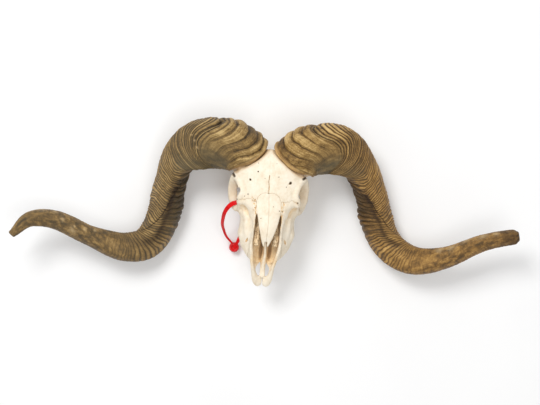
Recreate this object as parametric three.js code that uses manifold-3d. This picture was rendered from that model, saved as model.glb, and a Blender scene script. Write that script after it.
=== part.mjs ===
// A ram's skull with its two long open-spiral horns and a red seal looped through one eye socket.
// Millimetres, +Z up. The skull lies face up on its horns and on the back of the head, so the
// plane of the forehead is level. Left and right are the animal's own, and +X is its left.

import * as THREE from 'three';
import { mergeVertices } from 'three/addons/utils/BufferGeometryUtils.js';
import Module from 'manifold-3d';

const wasm = await Module();
wasm.setup();

// ---- driving dimensions ----

const FACE_HEIGHT = 142; // level of the forehead above the floor
const GAP = 0.3; // clearance between neighbouring pieces
const FAR = 300; // reach of the boxes that part the bones

const OUTLINE_MIDDLE = [-0.5, -0.96]; // middle of the outline from above, which is the origin
const SKULL_PIVOT = [3, -29]; // where the skull's own frame stands on the floor
const SKULL_YAW = THREE.MathUtils.degToRad(-3.8); // the skull lies turned a little from square

const NOSE_LEAN = 3.8; // the nose curves towards the left side by this much
const NOSE_LEAN_Y = -5;
const NOSE_LEAN_LENGTH = 50;
const NOSE_LEAN_DEPTH = 75;

const FRONTAL_DEPTH = 34; // the roof of the skull above the braincase
const CHEEK_X = 57; // where the zygomatic bone begins
const ORBIT_RIM_DEPTH = 24; // the rim above this belongs to the frontal
const FACE_Y = 26; // the face in front of this, the cranium behind it
const OCCIPITAL_Y = 60; // behind this and below the next depth it's the base of the skull
const OCCIPITAL_DEPTH = 76;
const NASAL_DEPTH = 14;
const PALATE_DEPTH = 56;
const PREMAXILLA_DEPTH = 46; // its rods are above this, and in front of the next line it's whole
const PREMAXILLA_Y = -84;
const FORK_Y = -111; // where the two premaxillae meet
const SPLIT_X = 3.4; // half the width of the median strip between the fissures
const VOMER_Y = [-112, -8];

const CUT_TOP = -20; // cuts through the roof of the nose start this far above it
const NOSE_OPENING_DEPTH = 48;
const NASAL_SLOT_DEPTH = 30;

const HORN_SIDES = 14;
const HORN_RINGS_PER_STATION = 3;
const TANGENT_REACH = 0.45; // in stations
const HORN_EGG = 0.24; // how much the section narrows towards its inner edge
const HORN_BLUNT = 0.75; // below 1 flattens the broad outer side of the section
const PEDICLE_LENGTH = 34; // the bony stump under each horn
const PEDICLE_SHARES = [0.9, 0.63]; // its size against the horn's, under the horn and at its root

// Stations along each horn: centre, width from outer to inner edge, thickness across it, and the
// way the inner edge points in degrees, from -Y (0) through +Z (90) to +Y (180).
const LEFT_HORN = [
  { at: [53, 70, 97], wide: 92, thick: 73, turn: -48 },
  { at: [69, 82, 102], wide: 96, thick: 76, turn: -38 },
  { at: [92, 92, 104], wide: 96, thick: 74, turn: -28 },
  { at: [132, 94, 100], wide: 92, thick: 69, turn: -5 },
  { at: [176, 64, 71], wide: 80, thick: 56, turn: 45 },
  { at: [201, 14, 42.5], wide: 76, thick: 55, turn: 75 },
  { at: [211, -30, 35.9], wide: 71, thick: 58, turn: 94 },
  { at: [230, -77, 43], wide: 64, thick: 56, turn: 125 },
  { at: [276, -110, 57], wide: 54, thick: 45, turn: 172 },
  { at: [335, -104, 76], wide: 41, thick: 37, turn: 202 },
  { at: [400, -78, 94], wide: 33, thick: 32, turn: 226 },
  { at: [462, -62, 106], wide: 28, thick: 27, turn: 240 },
];
const RIGHT_HORN = [
  { at: [-32, 77, 97], wide: 90, thick: 71, turn: -48 },
  { at: [-47, 91.5, 102], wide: 97, thick: 75, turn: -38 },
  { at: [-71, 103, 105], wide: 97, thick: 75, turn: -28 },
  { at: [-112, 106, 99], wide: 92, thick: 70, turn: -5 },
  { at: [-160, 81, 70], wide: 80, thick: 56, turn: 45 },
  { at: [-181, 32, 43.5], wide: 76, thick: 55, turn: 75 },
  { at: [-194, -28, 35.6], wide: 71, thick: 59, turn: 96 },
  { at: [-221, -72, 43], wide: 64, thick: 55, turn: 130 },
  { at: [-266, -84, 57], wide: 54, thick: 44, turn: 170 },
  { at: [-325, -62, 75], wide: 38, thick: 35, turn: 202 },
  { at: [-385, -32, 91], wide: 36, thick: 32, turn: 226 },
  { at: [-430, -31, 103], wide: 30, thick: 28, turn: 245 },
  { at: [-462, -59, 109], wide: 14, thick: 14, turn: 250 },
];

// Lengths of a horn, as fractions of it.
const HORN_LENGTHS = { base: [0, 0.25], arch: [0.25, 0.5], drop: [0.5, 0.75], tip: [0.75, 1] };

// Sections of the skull from the poll to the nose. The roof, cheek and gum are half widths with
// their depths below the forehead, and top and bottom are depths on the middle line.
const SKULL_SECTIONS = [
  { y: 122, top: 6, roof: [26, 13], cheek: [38, 36], gum: [31, 74], bottom: 92 },
  { y: 112, top: 0, roof: [34, 6], cheek: [48, 40], gum: [40, 92], bottom: 117 },
  { y: 92, top: -3, roof: [48, 5], cheek: [51, 44], gum: [38, 100], bottom: 124 },
  { y: 68, top: -3, roof: [59, 12], cheek: [47, 40], gum: [26, 98], bottom: 120 },
  { y: 45, top: -2, roof: [54, 12], cheek: [42, 32], gum: [20, 86], bottom: 104 },
  { y: 27, top: -1, roof: [45, 12], cheek: [49, 34], gum: [30, 84], bottom: 90 },
  { y: 8, top: -3, roof: [27, 7], cheek: [48, 42], gum: [37, 88], bottom: 84 },
  { y: -18, top: -3, roof: [24, 8], cheek: [47, 47], gum: [35, 82], bottom: 76 },
  { y: -36, top: 2, roof: [23, 13], cheek: [48, 52], gum: [32, 76], bottom: 70 },
  { y: -55, top: 12, roof: [22, 20], cheek: [42, 50], gum: [27, 68], bottom: 65 },
  { y: -74, top: 22, roof: [20, 28], cheek: [29, 48], gum: [20, 62], bottom: 62 },
  { y: -84, top: 48, roof: [14, 49], cheek: [19, 55], gum: [13, 61], bottom: 61 },
];
const SKULL_SIDES = 16;
const SKULL_RINGS = 16;

// Half of each paired bone, drawn on the left side and mirrored for the right.
const ORBIT = { at: [70, 43, 42], radii: [22, 23, 24] };
const ORBIT_RIM = [
  [58, 69, 17],
  [54, 54, 13],
  [52, 40, 13],
  [56, 29, 18],
  [58, 19, 30],
  [63, 15, 46],
  [68, 24, 56],
  [70, 42, 54],
  [69, 58, 42],
  [65, 68, 28],
];
const ORBIT_RIM_RADIUS = 4.2;
const ORBIT_BAR = [
  { at: [62, 70, 24], wide: 12, high: 9 },
  { at: [64, 56, 40], wide: 15, high: 8 },
  { at: [64, 40, 50], wide: 16, high: 9 },
  { at: [61, 22, 52], wide: 14, high: 12 },
  { at: [54, 12, 50], wide: 12, high: 14 },
];
const ARCH = [
  { at: [68, 34, 56], wide: 6, high: 13 },
  { at: [68, 56, 60], wide: 6, high: 11 },
  { at: [64, 76, 63], wide: 7, high: 10 },
  { at: [50, 92, 68], wide: 13, high: 12 },
];
const CHEEK_BAR = [
  { at: [56, 16, 52], wide: 12, high: 14 },
  { at: [45, 3, 50], wide: 12, high: 16 },
  { at: [42, -14, 54], wide: 13, high: 16 },
  { at: [43, -34, 55], wide: 14, high: 16 },
];
const LACRIMAL = { at: [53, 23, 26], radii: [6, 9, 12] };
const TUBEROSITY = { at: [42, -33, 54], radii: [9.5, 15, 12] };
const CONDYLE = { at: [15, 107, 126.6], radii: [10, 13, 16] };
const BULLA = { at: [23, 84, 116], radii: [9, 13, 11] };
const JUGULAR = [
  { at: [36, 102, 92], wide: 9, high: 14 },
  { at: [33, 106, 128], wide: 5, high: 8 },
];
const PTERYGOID = [
  { at: [17, 54, 96], wide: 5, high: 26 },
  { at: [18, 36, 94], wide: 5, high: 22 },
];
const FORAMEN_MAGNUM = { at: [0, 119, 108], radii: [10, 12, 10] };
const CHOANA = { at: [0, 34, 104], radii: [12, 20, 14] };

const TEETH = 6;
const TOOTH_SIDES = 6;
const TOOTH_START = { at: [26, -54, 70], wide: 9, long: 11, high: 18 };
const TOOTH_END = { at: [33, 13, 93], wide: 14, long: 17, high: 26 };

const NASAL_HALF = [
  [0, 44], [10, 38], [19, 28], [22, 24], [20.5, 4], [17.5, -14], [13, -30], [6, -44], [2.5, -51],
  [0, -42], [0, 0],
];
const NOSE_CAVITY = [
  { at: [0, 2, 29], wide: 34, high: 42 },
  { at: [0, -16, 29], wide: 41, high: 48 },
  { at: [0, -40, 31], wide: 46, high: 46 },
  { at: [0, -62, 38], wide: 44, high: 32 },
  { at: [0, -90, 44], wide: 30, high: 20 },
];
const NOSE_OPENING = [
  [0, -46], [8, -42], [18, -24], [23, -20], [24.5, -30], [23.5, -58], [18, -82], [10, -100], [0, -100],
];
const NASAL_SLOT = [[21.5, 2], [24, -2], [24.5, -30], [12, -30], [19, -14]];
const NOSE_ROD = [
  { at: [25, -22, 18], wide: 6, high: 14 },
  { at: [26.8, -58, 27], wide: 7.2, high: 15 },
  { at: [20, -88, 42], wide: 7.4, high: 14 },
  { at: [14, -108, 53], wide: 9.2, high: 11 },
  { at: [8.4, -119, 60], wide: 11, high: 8 },
  { at: [4.6, -126, 63], wide: 5, high: 4 },
];
const NOSE_TIP = { at: [6, -117, 60], radii: [6, 8, 4] };
const PREMAXILLA_HALF = [
  [SPLIT_X, -31], [30.5, -31], [25.5, -79], [60, -79], [60, -FAR], [0, -FAR], [0, FORK_Y],
  [SPLIT_X, FORK_Y],
];
const VOMER = [
  { at: [0, 0, 38], wide: 4, high: 34 },
  { at: [0, -50, 42], wide: 5, high: 30 },
  { at: [0, -88, 54], wide: 6, high: 10 },
  { at: [0, -112, 58], wide: 5, high: 7 },
];
const TURBINATE = [
  { at: [13, -6, 32], wide: 10, high: 20 },
  { at: [13.5, -30, 33], wide: 12, high: 22 },
  { at: [12.5, -54, 40], wide: 7, high: 12 },
];

// The seal runs through the right eye socket, in the frame of the floor. Its strap tapers from the
// rim of the socket to the lock, comes down behind the cheek and returns to the lock's tab.
const STRAP = [
  { at: [-63, -79, 17], wide: 3.2, high: 2.4 },
  { at: [-74, -66, 28], wide: 3.6, high: 2.4 },
  { at: [-80, -44, 54], wide: 5, high: 2.4 },
  { at: [-75, -20, 82], wide: 6.4, high: 2.4 },
  { at: [-62, -4, 101], wide: 7.5, high: 2.4 },
  { at: [-49, 1, 98], wide: 7.5, high: 2.4 },
  { at: [-42, 5, 80], wide: 7.5, high: 2.4 },
  { at: [-40, -1, 56], wide: 7, high: 2.4 },
  { at: [-42, -26, 35], wide: 6, high: 2.4 },
  { at: [-45, -56, 25], wide: 5, high: 2.4 },
  { at: [-53, -76, 19], wide: 5, high: 3 },
];
const STRAP_SIDES = 6;
const STRAP_RINGS_PER_STATION = 2;
const LOCK = { at: [-59.5, -87, 10.3], radius: 9.8 };
const LOCK_TAB = [
  { at: [-59, -86, 12], wide: 9, high: 9 },
  { at: [-50, -73, 20], wide: 5, high: 6 },
];

// ---- closed solids ----

/** Turn rings of points into a closed solid, with a fan over each end unless they form a loop. */
function loft(rings, isLoop = false) {
  const sides = rings[0].length;
  const points = rings.flat();
  const triangles = [];
  const spans = isLoop ? rings.length : rings.length - 1;
  for (let ring = 0; ring < spans; ring++) {
    const next = (ring + 1) % rings.length;
    for (let side = 0; side < sides; side++) {
      const across = (side + 1) % sides;
      const [a, b] = [ring * sides + side, ring * sides + across];
      const [c, d] = [next * sides + across, next * sides + side];
      triangles.push(a, b, c, a, c, d);
    }
  }
  if (!isLoop) {
    addCap(points, triangles, 0, sides, true);
    addCap(points, triangles, (rings.length - 1) * sides, sides, false);
  }
  return solidOf(points, triangles);
}

function addCap(points, triangles, first, sides, isStart) {
  const middle = new THREE.Vector3();
  for (let side = 0; side < sides; side++) {
    middle.addScaledVector(points[first + side], 1 / sides);
  }
  const centre = points.push(middle) - 1;
  for (let side = 0; side < sides; side++) {
    const [a, b] = [first + side, first + ((side + 1) % sides)];
    triangles.push(...(isStart ? [centre, b, a] : [centre, a, b]));
  }
}

/** Make a solid of points and triangles, with its faces turned outwards. */
function solidOf(points, triangles) {
  let volume = 0;
  for (let i = 0; i < triangles.length; i += 3) {
    const [a, b, c] = [points[triangles[i]], points[triangles[i + 1]], points[triangles[i + 2]]];
    volume += a.dot(b.clone().cross(c));
  }
  const outward = [];
  for (let i = 0; i < triangles.length; i += 3) {
    const [a, b, c] = triangles.slice(i, i + 3);
    outward.push(...(volume > 0 ? [a, b, c] : [a, c, b]));
  }
  const vertProperties = new Float32Array(points.flatMap((p) => [p.x, p.y, p.z]));
  const triVerts = new Uint32Array(outward);
  return new wasm.Manifold(new wasm.Mesh({ numProp: 3, vertProperties, triVerts }));
}

/** Make a solid of a closed three.js geometry. */
function solidOfGeometry(geometry) {
  geometry.deleteAttribute('normal');
  geometry.deleteAttribute('uv');
  const merged = mergeVertices(geometry, 1e-3);
  const position = merged.getAttribute('position');
  const points = [];
  for (let i = 0; i < position.count; i++) {
    points.push(new THREE.Vector3().fromBufferAttribute(position, i));
  }
  return solidOf(points, Array.from(merged.index.array));
}

function joined(solids) {
  return solids.reduce((whole, solid) => whole.add(solid));
}

// ---- shapes in the skull's frame: x to the left side, y to the poll, d below the forehead ----

/** The nose of this skull isn't straight: it curves to the left side, most at the roof. */
function noseLean(y, d) {
  const along = (y - NOSE_LEAN_Y) / NOSE_LEAN_LENGTH;
  const share = THREE.MathUtils.clamp(1 - d / NOSE_LEAN_DEPTH, 0, 1);
  return NOSE_LEAN * Math.exp(-along * along) * share;
}

function skullPoint([x, y, d], side = 1) {
  return new THREE.Vector3(side * x + noseLean(y, d), y, FACE_HEIGHT - d);
}

function ellipsoid({ at, radii }, side = 1, segments = 10) {
  const geometry = new THREE.SphereGeometry(1, segments, Math.round(segments * 0.6));
  geometry.scale(...radii);
  const centre = skullPoint(at, side);
  geometry.translate(centre.x, centre.y, centre.z);
  return solidOfGeometry(geometry);
}

/** Extrude an outline given by its half, mirrored about the middle line, between two depths. */
function plate(outline, topDepth, bottomDepth) {
  const leaned = outline.map(([x, y]) => new THREE.Vector2(x + noseLean(y, 0), y));
  const height = bottomDepth - topDepth;
  const options = { depth: height, bevelEnabled: false };
  const geometry = new THREE.ExtrudeGeometry(new THREE.Shape(leaned), options);
  geometry.translate(0, 0, FACE_HEIGHT - bottomDepth);
  return solidOfGeometry(geometry);
}

function mirroredOutline(half, side) {
  return half.map(([x, y]) => [side * x, y]);
}

/** A box between two corners, each an x, a y and a depth. */
function block([x0, y0, d0], [x1, y1, d1]) {
  const geometry = new THREE.BoxGeometry(Math.abs(x1 - x0), Math.abs(y1 - y0), Math.abs(d1 - d0));
  geometry.translate((x0 + x1) / 2, (y0 + y1) / 2, FACE_HEIGHT - (d0 + d1) / 2);
  return solidOfGeometry(geometry);
}

/** Smooth curves through the stations' centres and through up to three of their sizes. */
function stationCurves(stations, toPoint, sizeNames) {
  const centres = stations.map((station) => toPoint(station.at));
  const sizes = stations.map((station) => {
    const [a, b, c = 0] = sizeNames.map((name) => station[name]);
    return new THREE.Vector3(a, b, c);
  });
  return {
    centre: new THREE.CatmullRomCurve3(centres, false, 'catmullrom'),
    size: new THREE.CatmullRomCurve3(sizes, false, 'catmullrom'),
  };
}

/** An oval ring of points round a centre, on two directions. */
function ovalRing(centre, across, along, halfAcross, halfAlong, sides) {
  return Array.from({ length: sides }, (_, side) => {
    const angle = (2 * Math.PI * side) / sides;
    return centre
      .clone()
      .addScaledVector(across, halfAcross * Math.cos(angle))
      .addScaledVector(along, halfAlong * Math.sin(angle));
  });
}

/** Sweep an oval along stations, keeping its high direction as upright as it can be. */
function bar(stations, toPoint = skullPoint, sides = 6, stepsPerStation = 2, grow = 0) {
  const curves = stationCurves(stations, toPoint, ['wide', 'high']);
  const steps = (stations.length - 1) * stepsPerStation;
  const rings = [];
  for (let step = 0; step <= steps; step++) {
    const t = step / steps;
    const tangent = curves.centre.getTangent(t);
    const across = tangent.clone().cross(new THREE.Vector3(0, 0, 1)).normalize();
    const upright = across.clone().cross(tangent);
    const size = curves.size.getPoint(t);
    const centre = curves.centre.getPoint(t);
    rings.push(ovalRing(centre, across, upright, size.x / 2 + grow, size.y / 2 + grow, sides));
  }
  return loft(rings);
}

function sideBar(stations, side, sides = 6, stepsPerStation = 2, grow = 0) {
  return bar(stations, (at) => skullPoint(at, side), sides, stepsPerStation, grow);
}

/** The seal's strap: an oval swept along its stations without a twist. */
function strap(toFrame, grow = 0) {
  const curves = stationCurves(STRAP, (at) => new THREE.Vector3(...at), ['wide', 'high']);
  const steps = (STRAP.length - 1) * STRAP_RINGS_PER_STATION;
  const frames = curves.centre.computeFrenetFrames(steps, false);
  const rings = frames.normals.map((normal, step) => {
    const t = curves.centre.getUtoTmapping(step / steps);
    const size = curves.size.getPoint(t);
    const [halfWide, halfHigh] = [size.x / 2 + grow, size.y / 2 + grow];
    const centre = curves.centre.getPoint(t);
    const ring = ovalRing(centre, frames.binormals[step], normal, halfWide, halfHigh, STRAP_SIDES);
    return ring.map(toFrame);
  });
  return loft(rings);
}

/** The seal's round lock with its wedge tab. */
function lock(grow) {
  const ball = new THREE.IcosahedronGeometry(LOCK.radius + grow, 1).translate(...LOCK.at);
  const tab = bar(LOCK_TAB, (at) => new THREE.Vector3(...at), 6, 1, grow);
  return solidOfGeometry(ball).add(tab);
}

/** A round tube along a closed curve. */
function hoop(points, radius, steps, sides) {
  const curve = new THREE.CatmullRomCurve3(points, true, 'catmullrom');
  const frames = curve.computeFrenetFrames(steps, true);
  const rings = [];
  for (let step = 0; step < steps; step++) {
    const centre = curve.getPointAt(step / steps);
    const [across, along] = [frames.normals[step], frames.binormals[step]];
    rings.push(ovalRing(centre, across, along, radius, radius, sides));
  }
  return loft(rings, true);
}

// ---- the skull, modelled whole ----

/** The body of the skull: a loft through its sections. */
function skullBody() {
  const outline = (section) => {
    const half = [section.roof, section.cheek, section.gum];
    return [[0, section.top], ...half, [0, section.bottom], ...half.toReversed().map(([x, d]) => [-x, d])];
  };
  const outlines = SKULL_SECTIONS.map(outline);
  const tracks = outlines[0].map((_, corner) => {
    const points = outlines.map((corners, i) => {
      return skullPoint([corners[corner][0], SKULL_SECTIONS[i].y, corners[corner][1]]);
    });
    return new THREE.CatmullRomCurve3(points, false, 'catmullrom');
  });
  const rings = [];
  for (let ring = 0; ring < SKULL_RINGS; ring++) {
    const corners = tracks.map((track) => track.getPoint(ring / (SKULL_RINGS - 1)));
    const section = new THREE.CatmullRomCurve3(corners, true, 'catmullrom');
    rings.push(section.getPoints(SKULL_SIDES).slice(0, SKULL_SIDES));
  }
  return loft(rings);
}

/** The cheek teeth of one side, growing from the first premolar to the last molar. */
function toothRow(side) {
  const mix = THREE.MathUtils.lerp;
  const teeth = [];
  for (let tooth = 0; tooth < TEETH; tooth++) {
    const t = tooth / (TEETH - 1);
    const [x, y, d] = [0, 1, 2].map((i) => mix(TOOTH_START.at[i], TOOTH_END.at[i], t));
    const radii = ['wide', 'long', 'high'].map((size) => mix(TOOTH_START[size], TOOTH_END[size], t) / 2);
    const crown = new THREE.CylinderGeometry(1, 0.86, 2, TOOTH_SIDES);
    crown.rotateX(Math.PI / 2);
    crown.scale(...radii);
    crown.translate(...skullPoint([x, y, d], side).toArray());
    teeth.push(solidOfGeometry(crown));
  }
  return joined(teeth);
}

function skullHalf(side) {
  const rim = ORBIT_RIM.map((at) => skullPoint(at, side));
  return joined([
    hoop(rim, ORBIT_RIM_RADIUS, 16, 6),
    sideBar(ORBIT_BAR, side),
    sideBar(ARCH, side),
    sideBar(CHEEK_BAR, side),
    sideBar(JUGULAR, side),
    sideBar(PTERYGOID, side),
    ellipsoid(LACRIMAL, side, 8),
    ellipsoid(TUBEROSITY, side, 8),
    ellipsoid(CONDYLE, side),
    ellipsoid(BULLA, side),
    toothRow(side),
  ]);
}

function wholeSkull() {
  const sides = [1, -1];
  const hollows = [
    bar(NOSE_CAVITY, skullPoint, 8),
    ellipsoid(FORAMEN_MAGNUM),
    ellipsoid(CHOANA),
    ...sides.map((side) => ellipsoid(ORBIT, side)),
    ...sides.map((side) => plate(mirroredOutline(NOSE_OPENING, side), CUT_TOP, NOSE_OPENING_DEPTH)),
    ...sides.map((side) => plate(mirroredOutline(NASAL_SLOT, side), CUT_TOP, NASAL_SLOT_DEPTH)),
  ];
  const body = joined([skullBody(), ...Object.values(HORNS).map(pedicle)]).subtract(joined(hollows));
  const rods = sides.map((side) => sideBar(NOSE_ROD, side, 8));
  const tips = sides.map((side) => ellipsoid(NOSE_TIP, side, 8));
  const halves = sides.map((side) => skullHalf(side));
  return joined([body, ...halves, ...rods, ...tips, bar(VOMER)]);
}

// ---- the horns ----

/** The way a horn runs, taken over nearly a station's length so that close rings never cross. */
function smoothTangent(curve, t, stationCount) {
  const reach = TANGENT_REACH / (stationCount - 1);
  const ahead = curve.getPoint(Math.min(t + reach, 1));
  return ahead.sub(curve.getPoint(Math.max(t - reach, 0))).normalize();
}

/** Rings of one horn between two fractions of its length, grown outwards by some clearance. */
function hornRings(stations, from, to, toFrame, grow = 0) {
  const curves = stationCurves(stations, (at) => new THREE.Vector3(...at), ['wide', 'thick', 'turn']);
  const steps = Math.round((to - from) * (stations.length - 1) * HORN_RINGS_PER_STATION);
  const rings = [];
  for (let step = 0; step <= steps; step++) {
    const t = from + ((to - from) * step) / steps;
    const centre = curves.centre.getPoint(t);
    const tangent = smoothTangent(curves.centre, t, stations.length);
    if (step === 0) centre.addScaledVector(tangent, GAP / 2 - grow);
    if (step === steps) centre.addScaledVector(tangent, grow - GAP / 2);
    rings.push(hornRing(centre, tangent, curves.size.getPoint(t), grow).map(toFrame));
  }
  return rings;
}

/** One ring: an egg whose narrow end is the horn's inner edge. */
function hornRing(centre, tangent, size, grow) {
  const turn = THREE.MathUtils.degToRad(size.z);
  const inner = new THREE.Vector3(0, -Math.cos(turn), Math.sin(turn));
  inner.addScaledVector(tangent, -inner.dot(tangent)).normalize();
  const across = tangent.clone().cross(inner);
  return Array.from({ length: HORN_SIDES }, (_, side) => {
    const angle = (2 * Math.PI * side) / HORN_SIDES;
    const [cos, sin] = [Math.cos(angle), Math.sin(angle)];
    const inward = cos > 0 ? cos : -(Math.abs(cos) ** HORN_BLUNT);
    const halfThick = (size.y / 2) * (1 - HORN_EGG * cos) + grow;
    return centre
      .clone()
      .addScaledVector(inner, (size.x / 2 + grow) * inward)
      .addScaledVector(across, halfThick * sin);
  });
}

/** The bony stump that carries a horn, tapering into the skull. */
function pedicle(stations) {
  const curves = stationCurves(stations, (at) => new THREE.Vector3(...at), ['wide', 'thick', 'turn']);
  const centre = curves.centre.getPoint(0);
  const tangent = smoothTangent(curves.centre, 0, stations.length);
  const rings = PEDICLE_SHARES.map((share, end) => {
    const size = curves.size.getPoint(0).multiply(new THREE.Vector3(share, share, 1));
    const middle = centre.clone().addScaledVector(tangent, -end * PEDICLE_LENGTH);
    return hornRing(middle, tangent, size, 0).map(toSkull);
  });
  return loft(rings);
}

// ---- parting the skull into its bones ----

/** Box regions and outlines that each bone keeps of the whole skull. */
function boneRegions() {
  const half = GAP / 2;
  const cheekBox = (side) => {
    const [inner, outer] = [CHEEK_X + half, FAR].map((x) => side * x);
    return block([inner, -FAR, ORBIT_RIM_DEPTH + half], [outer, FAR, FAR]);
  };
  const roof = joined([
    block([-CHEEK_X + half, FACE_Y + half, -FAR], [CHEEK_X - half, FAR, FRONTAL_DEPTH - half]),
    block([-FAR, FACE_Y + half, -FAR], [FAR, FAR, ORBIT_RIM_DEPTH - half]),
  ]);
  const base = (grow) => {
    const corner = [-CHEEK_X + half, OCCIPITAL_Y - grow, OCCIPITAL_DEPTH - grow];
    return block(corner, [CHEEK_X - half, FAR, FAR]);
  };
  const aboveBase = block(
    [-CHEEK_X + half, FACE_Y + half, FRONTAL_DEPTH + half],
    [CHEEK_X - half, FAR, FAR],
  );
  const cranium = aboveBase.subtract(base(GAP));
  const faceHalf = (side) => {
    const inner = block([side * half, -FAR, -FAR], [side * (CHEEK_X - half), FACE_Y - half, FAR]);
    const outer = block([side * CHEEK_X, -FAR, -FAR], [side * FAR, FACE_Y - half, ORBIT_RIM_DEPTH - half]);
    return inner.add(outer);
  };
  return { cheekBox, roof, cranium, occipital: base(0), faceHalf };
}

function nasalRegion(side, grow) {
  const outline = NASAL_HALF.map(([x, y]) => {
    const isMiddle = x === 0;
    return [side * (isMiddle ? GAP / 2 - grow : x + grow), y + (y > 0 ? grow : -grow)];
  });
  return plate(outline, -FAR, NASAL_DEPTH + grow);
}

/** The rod beside the opening of the nose and, in front of the palate, the whole tip. */
function premaxillaRegion(side, grow) {
  const outline = PREMAXILLA_HALF.map(([x, y]) => {
    const isInner = x <= SPLIT_X;
    return [side * (isInner ? x + GAP / 2 - grow : x + grow), y > FORK_Y ? y + grow : y];
  });
  const rod = plate(outline, -FAR, PREMAXILLA_DEPTH + grow);
  const inner = side * (GAP / 2 - grow);
  const tip = block([inner, -FAR, PREMAXILLA_DEPTH], [side * FAR, PREMAXILLA_Y + grow, FAR]);
  return rod.add(tip);
}

function vomerRegion(grow) {
  const half = SPLIT_X - GAP + grow;
  const [front, back] = VOMER_Y;
  return block([-half, front - grow, -FAR], [half, back + grow, PALATE_DEPTH + grow]);
}

// ---- materials ----

const bone = (hex) => new THREE.MeshStandardMaterial({ color: hex, roughness: 0.65, metalness: 0 });
const plastic = (hex) => new THREE.MeshStandardMaterial({ color: hex, roughness: 0.3, metalness: 0 });
const horn = (hex) => new THREE.MeshStandardMaterial({ color: hex, roughness: 0.7, metalness: 0 });
const BONE_LIGHT = 0xf3ead6;
const BONE_WARM = 0xe6d8bb;
const BONE_INNER = 0xb59468;
const HORN_BROWN = 0x8f7048;
const HORN_GOLD = 0xa27a45;
const SEAL_RED = 0xc8141e;

// ---- assembly ----

const model = new THREE.Group();
const skull = new THREE.Group();
skull.position.set(SKULL_PIVOT[0], SKULL_PIVOT[1], 0);
skull.rotation.z = SKULL_YAW;
skull.updateMatrix();
model.add(skull);
model.position.set(-OUTLINE_MIDDLE[0], -OUTLINE_MIDDLE[1], 0);
const intoSkull = skull.matrix.clone().invert();

function geometryOf(solid) {
  const mesh = solid.getMesh();
  const geometry = new THREE.BufferGeometry();
  geometry.setAttribute('position', new THREE.BufferAttribute(mesh.vertProperties, mesh.numProp));
  geometry.setIndex(Array.from(mesh.triVerts));
  return geometry;
}

/** Keep the largest closed body of a solid: a cut can leave crumbs behind. */
function largest(solid) {
  const bodies = solid.decompose();
  return bodies.reduce((best, body) => (body.volume() > best.volume() ? body : best));
}

function addBone(name, solid, hex) {
  const mesh = new THREE.Mesh(geometryOf(largest(solid)), bone(hex));
  mesh.name = name;
  skull.add(mesh);
}

function addPiece(name, solid, material) {
  const mesh = new THREE.Mesh(geometryOf(solid), material);
  mesh.name = name;
  model.add(mesh);
}

const HORNS = { left: LEFT_HORN, right: RIGHT_HORN };
const SIDES = { left: 1, right: -1 };
const toSkull = (point) => point.applyMatrix4(intoSkull);
const keepPoint = (point) => point;

const hornClearance = Object.values(HORNS).map((stations) => {
  return loft(hornRings(stations, 0, HORN_LENGTHS.arch[1], toSkull, GAP));
});
const turbinates = { left: sideBar(TURBINATE, 1), right: sideBar(TURBINATE, -1) };
const turbinateClearance = Object.values(SIDES).map((side) => sideBar(TURBINATE, side, 6, 2, GAP));
const regions = boneRegions();
const cutters = joined([...hornClearance, ...turbinateClearance, strap(toSkull, GAP)]);
const whole = wholeSkull().subtract(cutters);

const vomerClearance = vomerRegion(GAP);
const nasalClearance = joined(Object.values(SIDES).map((side) => nasalRegion(side, GAP)));
const noseClearance = joined([
  ...Object.values(SIDES).map((side) => premaxillaRegion(side, GAP)),
  vomerClearance,
]);

addBone('frontal', whole.intersect(regions.roof).subtract(nasalClearance), BONE_LIGHT);
addBone('braincase', whole.intersect(regions.cranium), BONE_WARM);
addBone('occipital', whole.intersect(regions.occipital), BONE_WARM);
addBone('vomer', whole.subtract(nasalClearance).intersect(vomerRegion(0)), BONE_INNER);
for (const [name, side] of Object.entries(SIDES)) {
  const nasal = nasalRegion(side, 0);
  const face = whole.intersect(regions.faceHalf(side)).subtract(nasalClearance);
  const rod = whole.intersect(premaxillaRegion(side, 0)).subtract(nasalClearance);
  addBone(`nasal_${name}`, whole.intersect(nasal), BONE_LIGHT);
  addBone(`maxilla_${name}`, face.subtract(noseClearance), BONE_LIGHT);
  addBone(`premaxilla_${name}`, rod.subtract(vomerClearance), BONE_WARM);
  addBone(`zygomatic_${name}`, whole.intersect(regions.cheekBox(side)), BONE_WARM);
  addBone(`turbinate_${name}`, turbinates[name], BONE_INNER);
}

for (const [name, stations] of Object.entries(HORNS)) {
  for (const [length, [from, to]] of Object.entries(HORN_LENGTHS)) {
    const solid = loft(hornRings(stations, from, to, keepPoint));
    addPiece(`horn_${name}_${length}`, solid, horn(length === 'tip' ? HORN_GOLD : HORN_BROWN));
  }
}

addPiece('seal_lock', lock(0), plastic(SEAL_RED));
addPiece('seal_strap', strap(keepPoint).subtract(lock(GAP)), plastic(SEAL_RED));

export default model;
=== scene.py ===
"""A ram's skull with long open-spiral horns and a red seal, lying face up on a pale floor.

Metres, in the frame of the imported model. Shapes are worked out in millimetres and scaled at the end.
"""

import functools
import math

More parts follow.
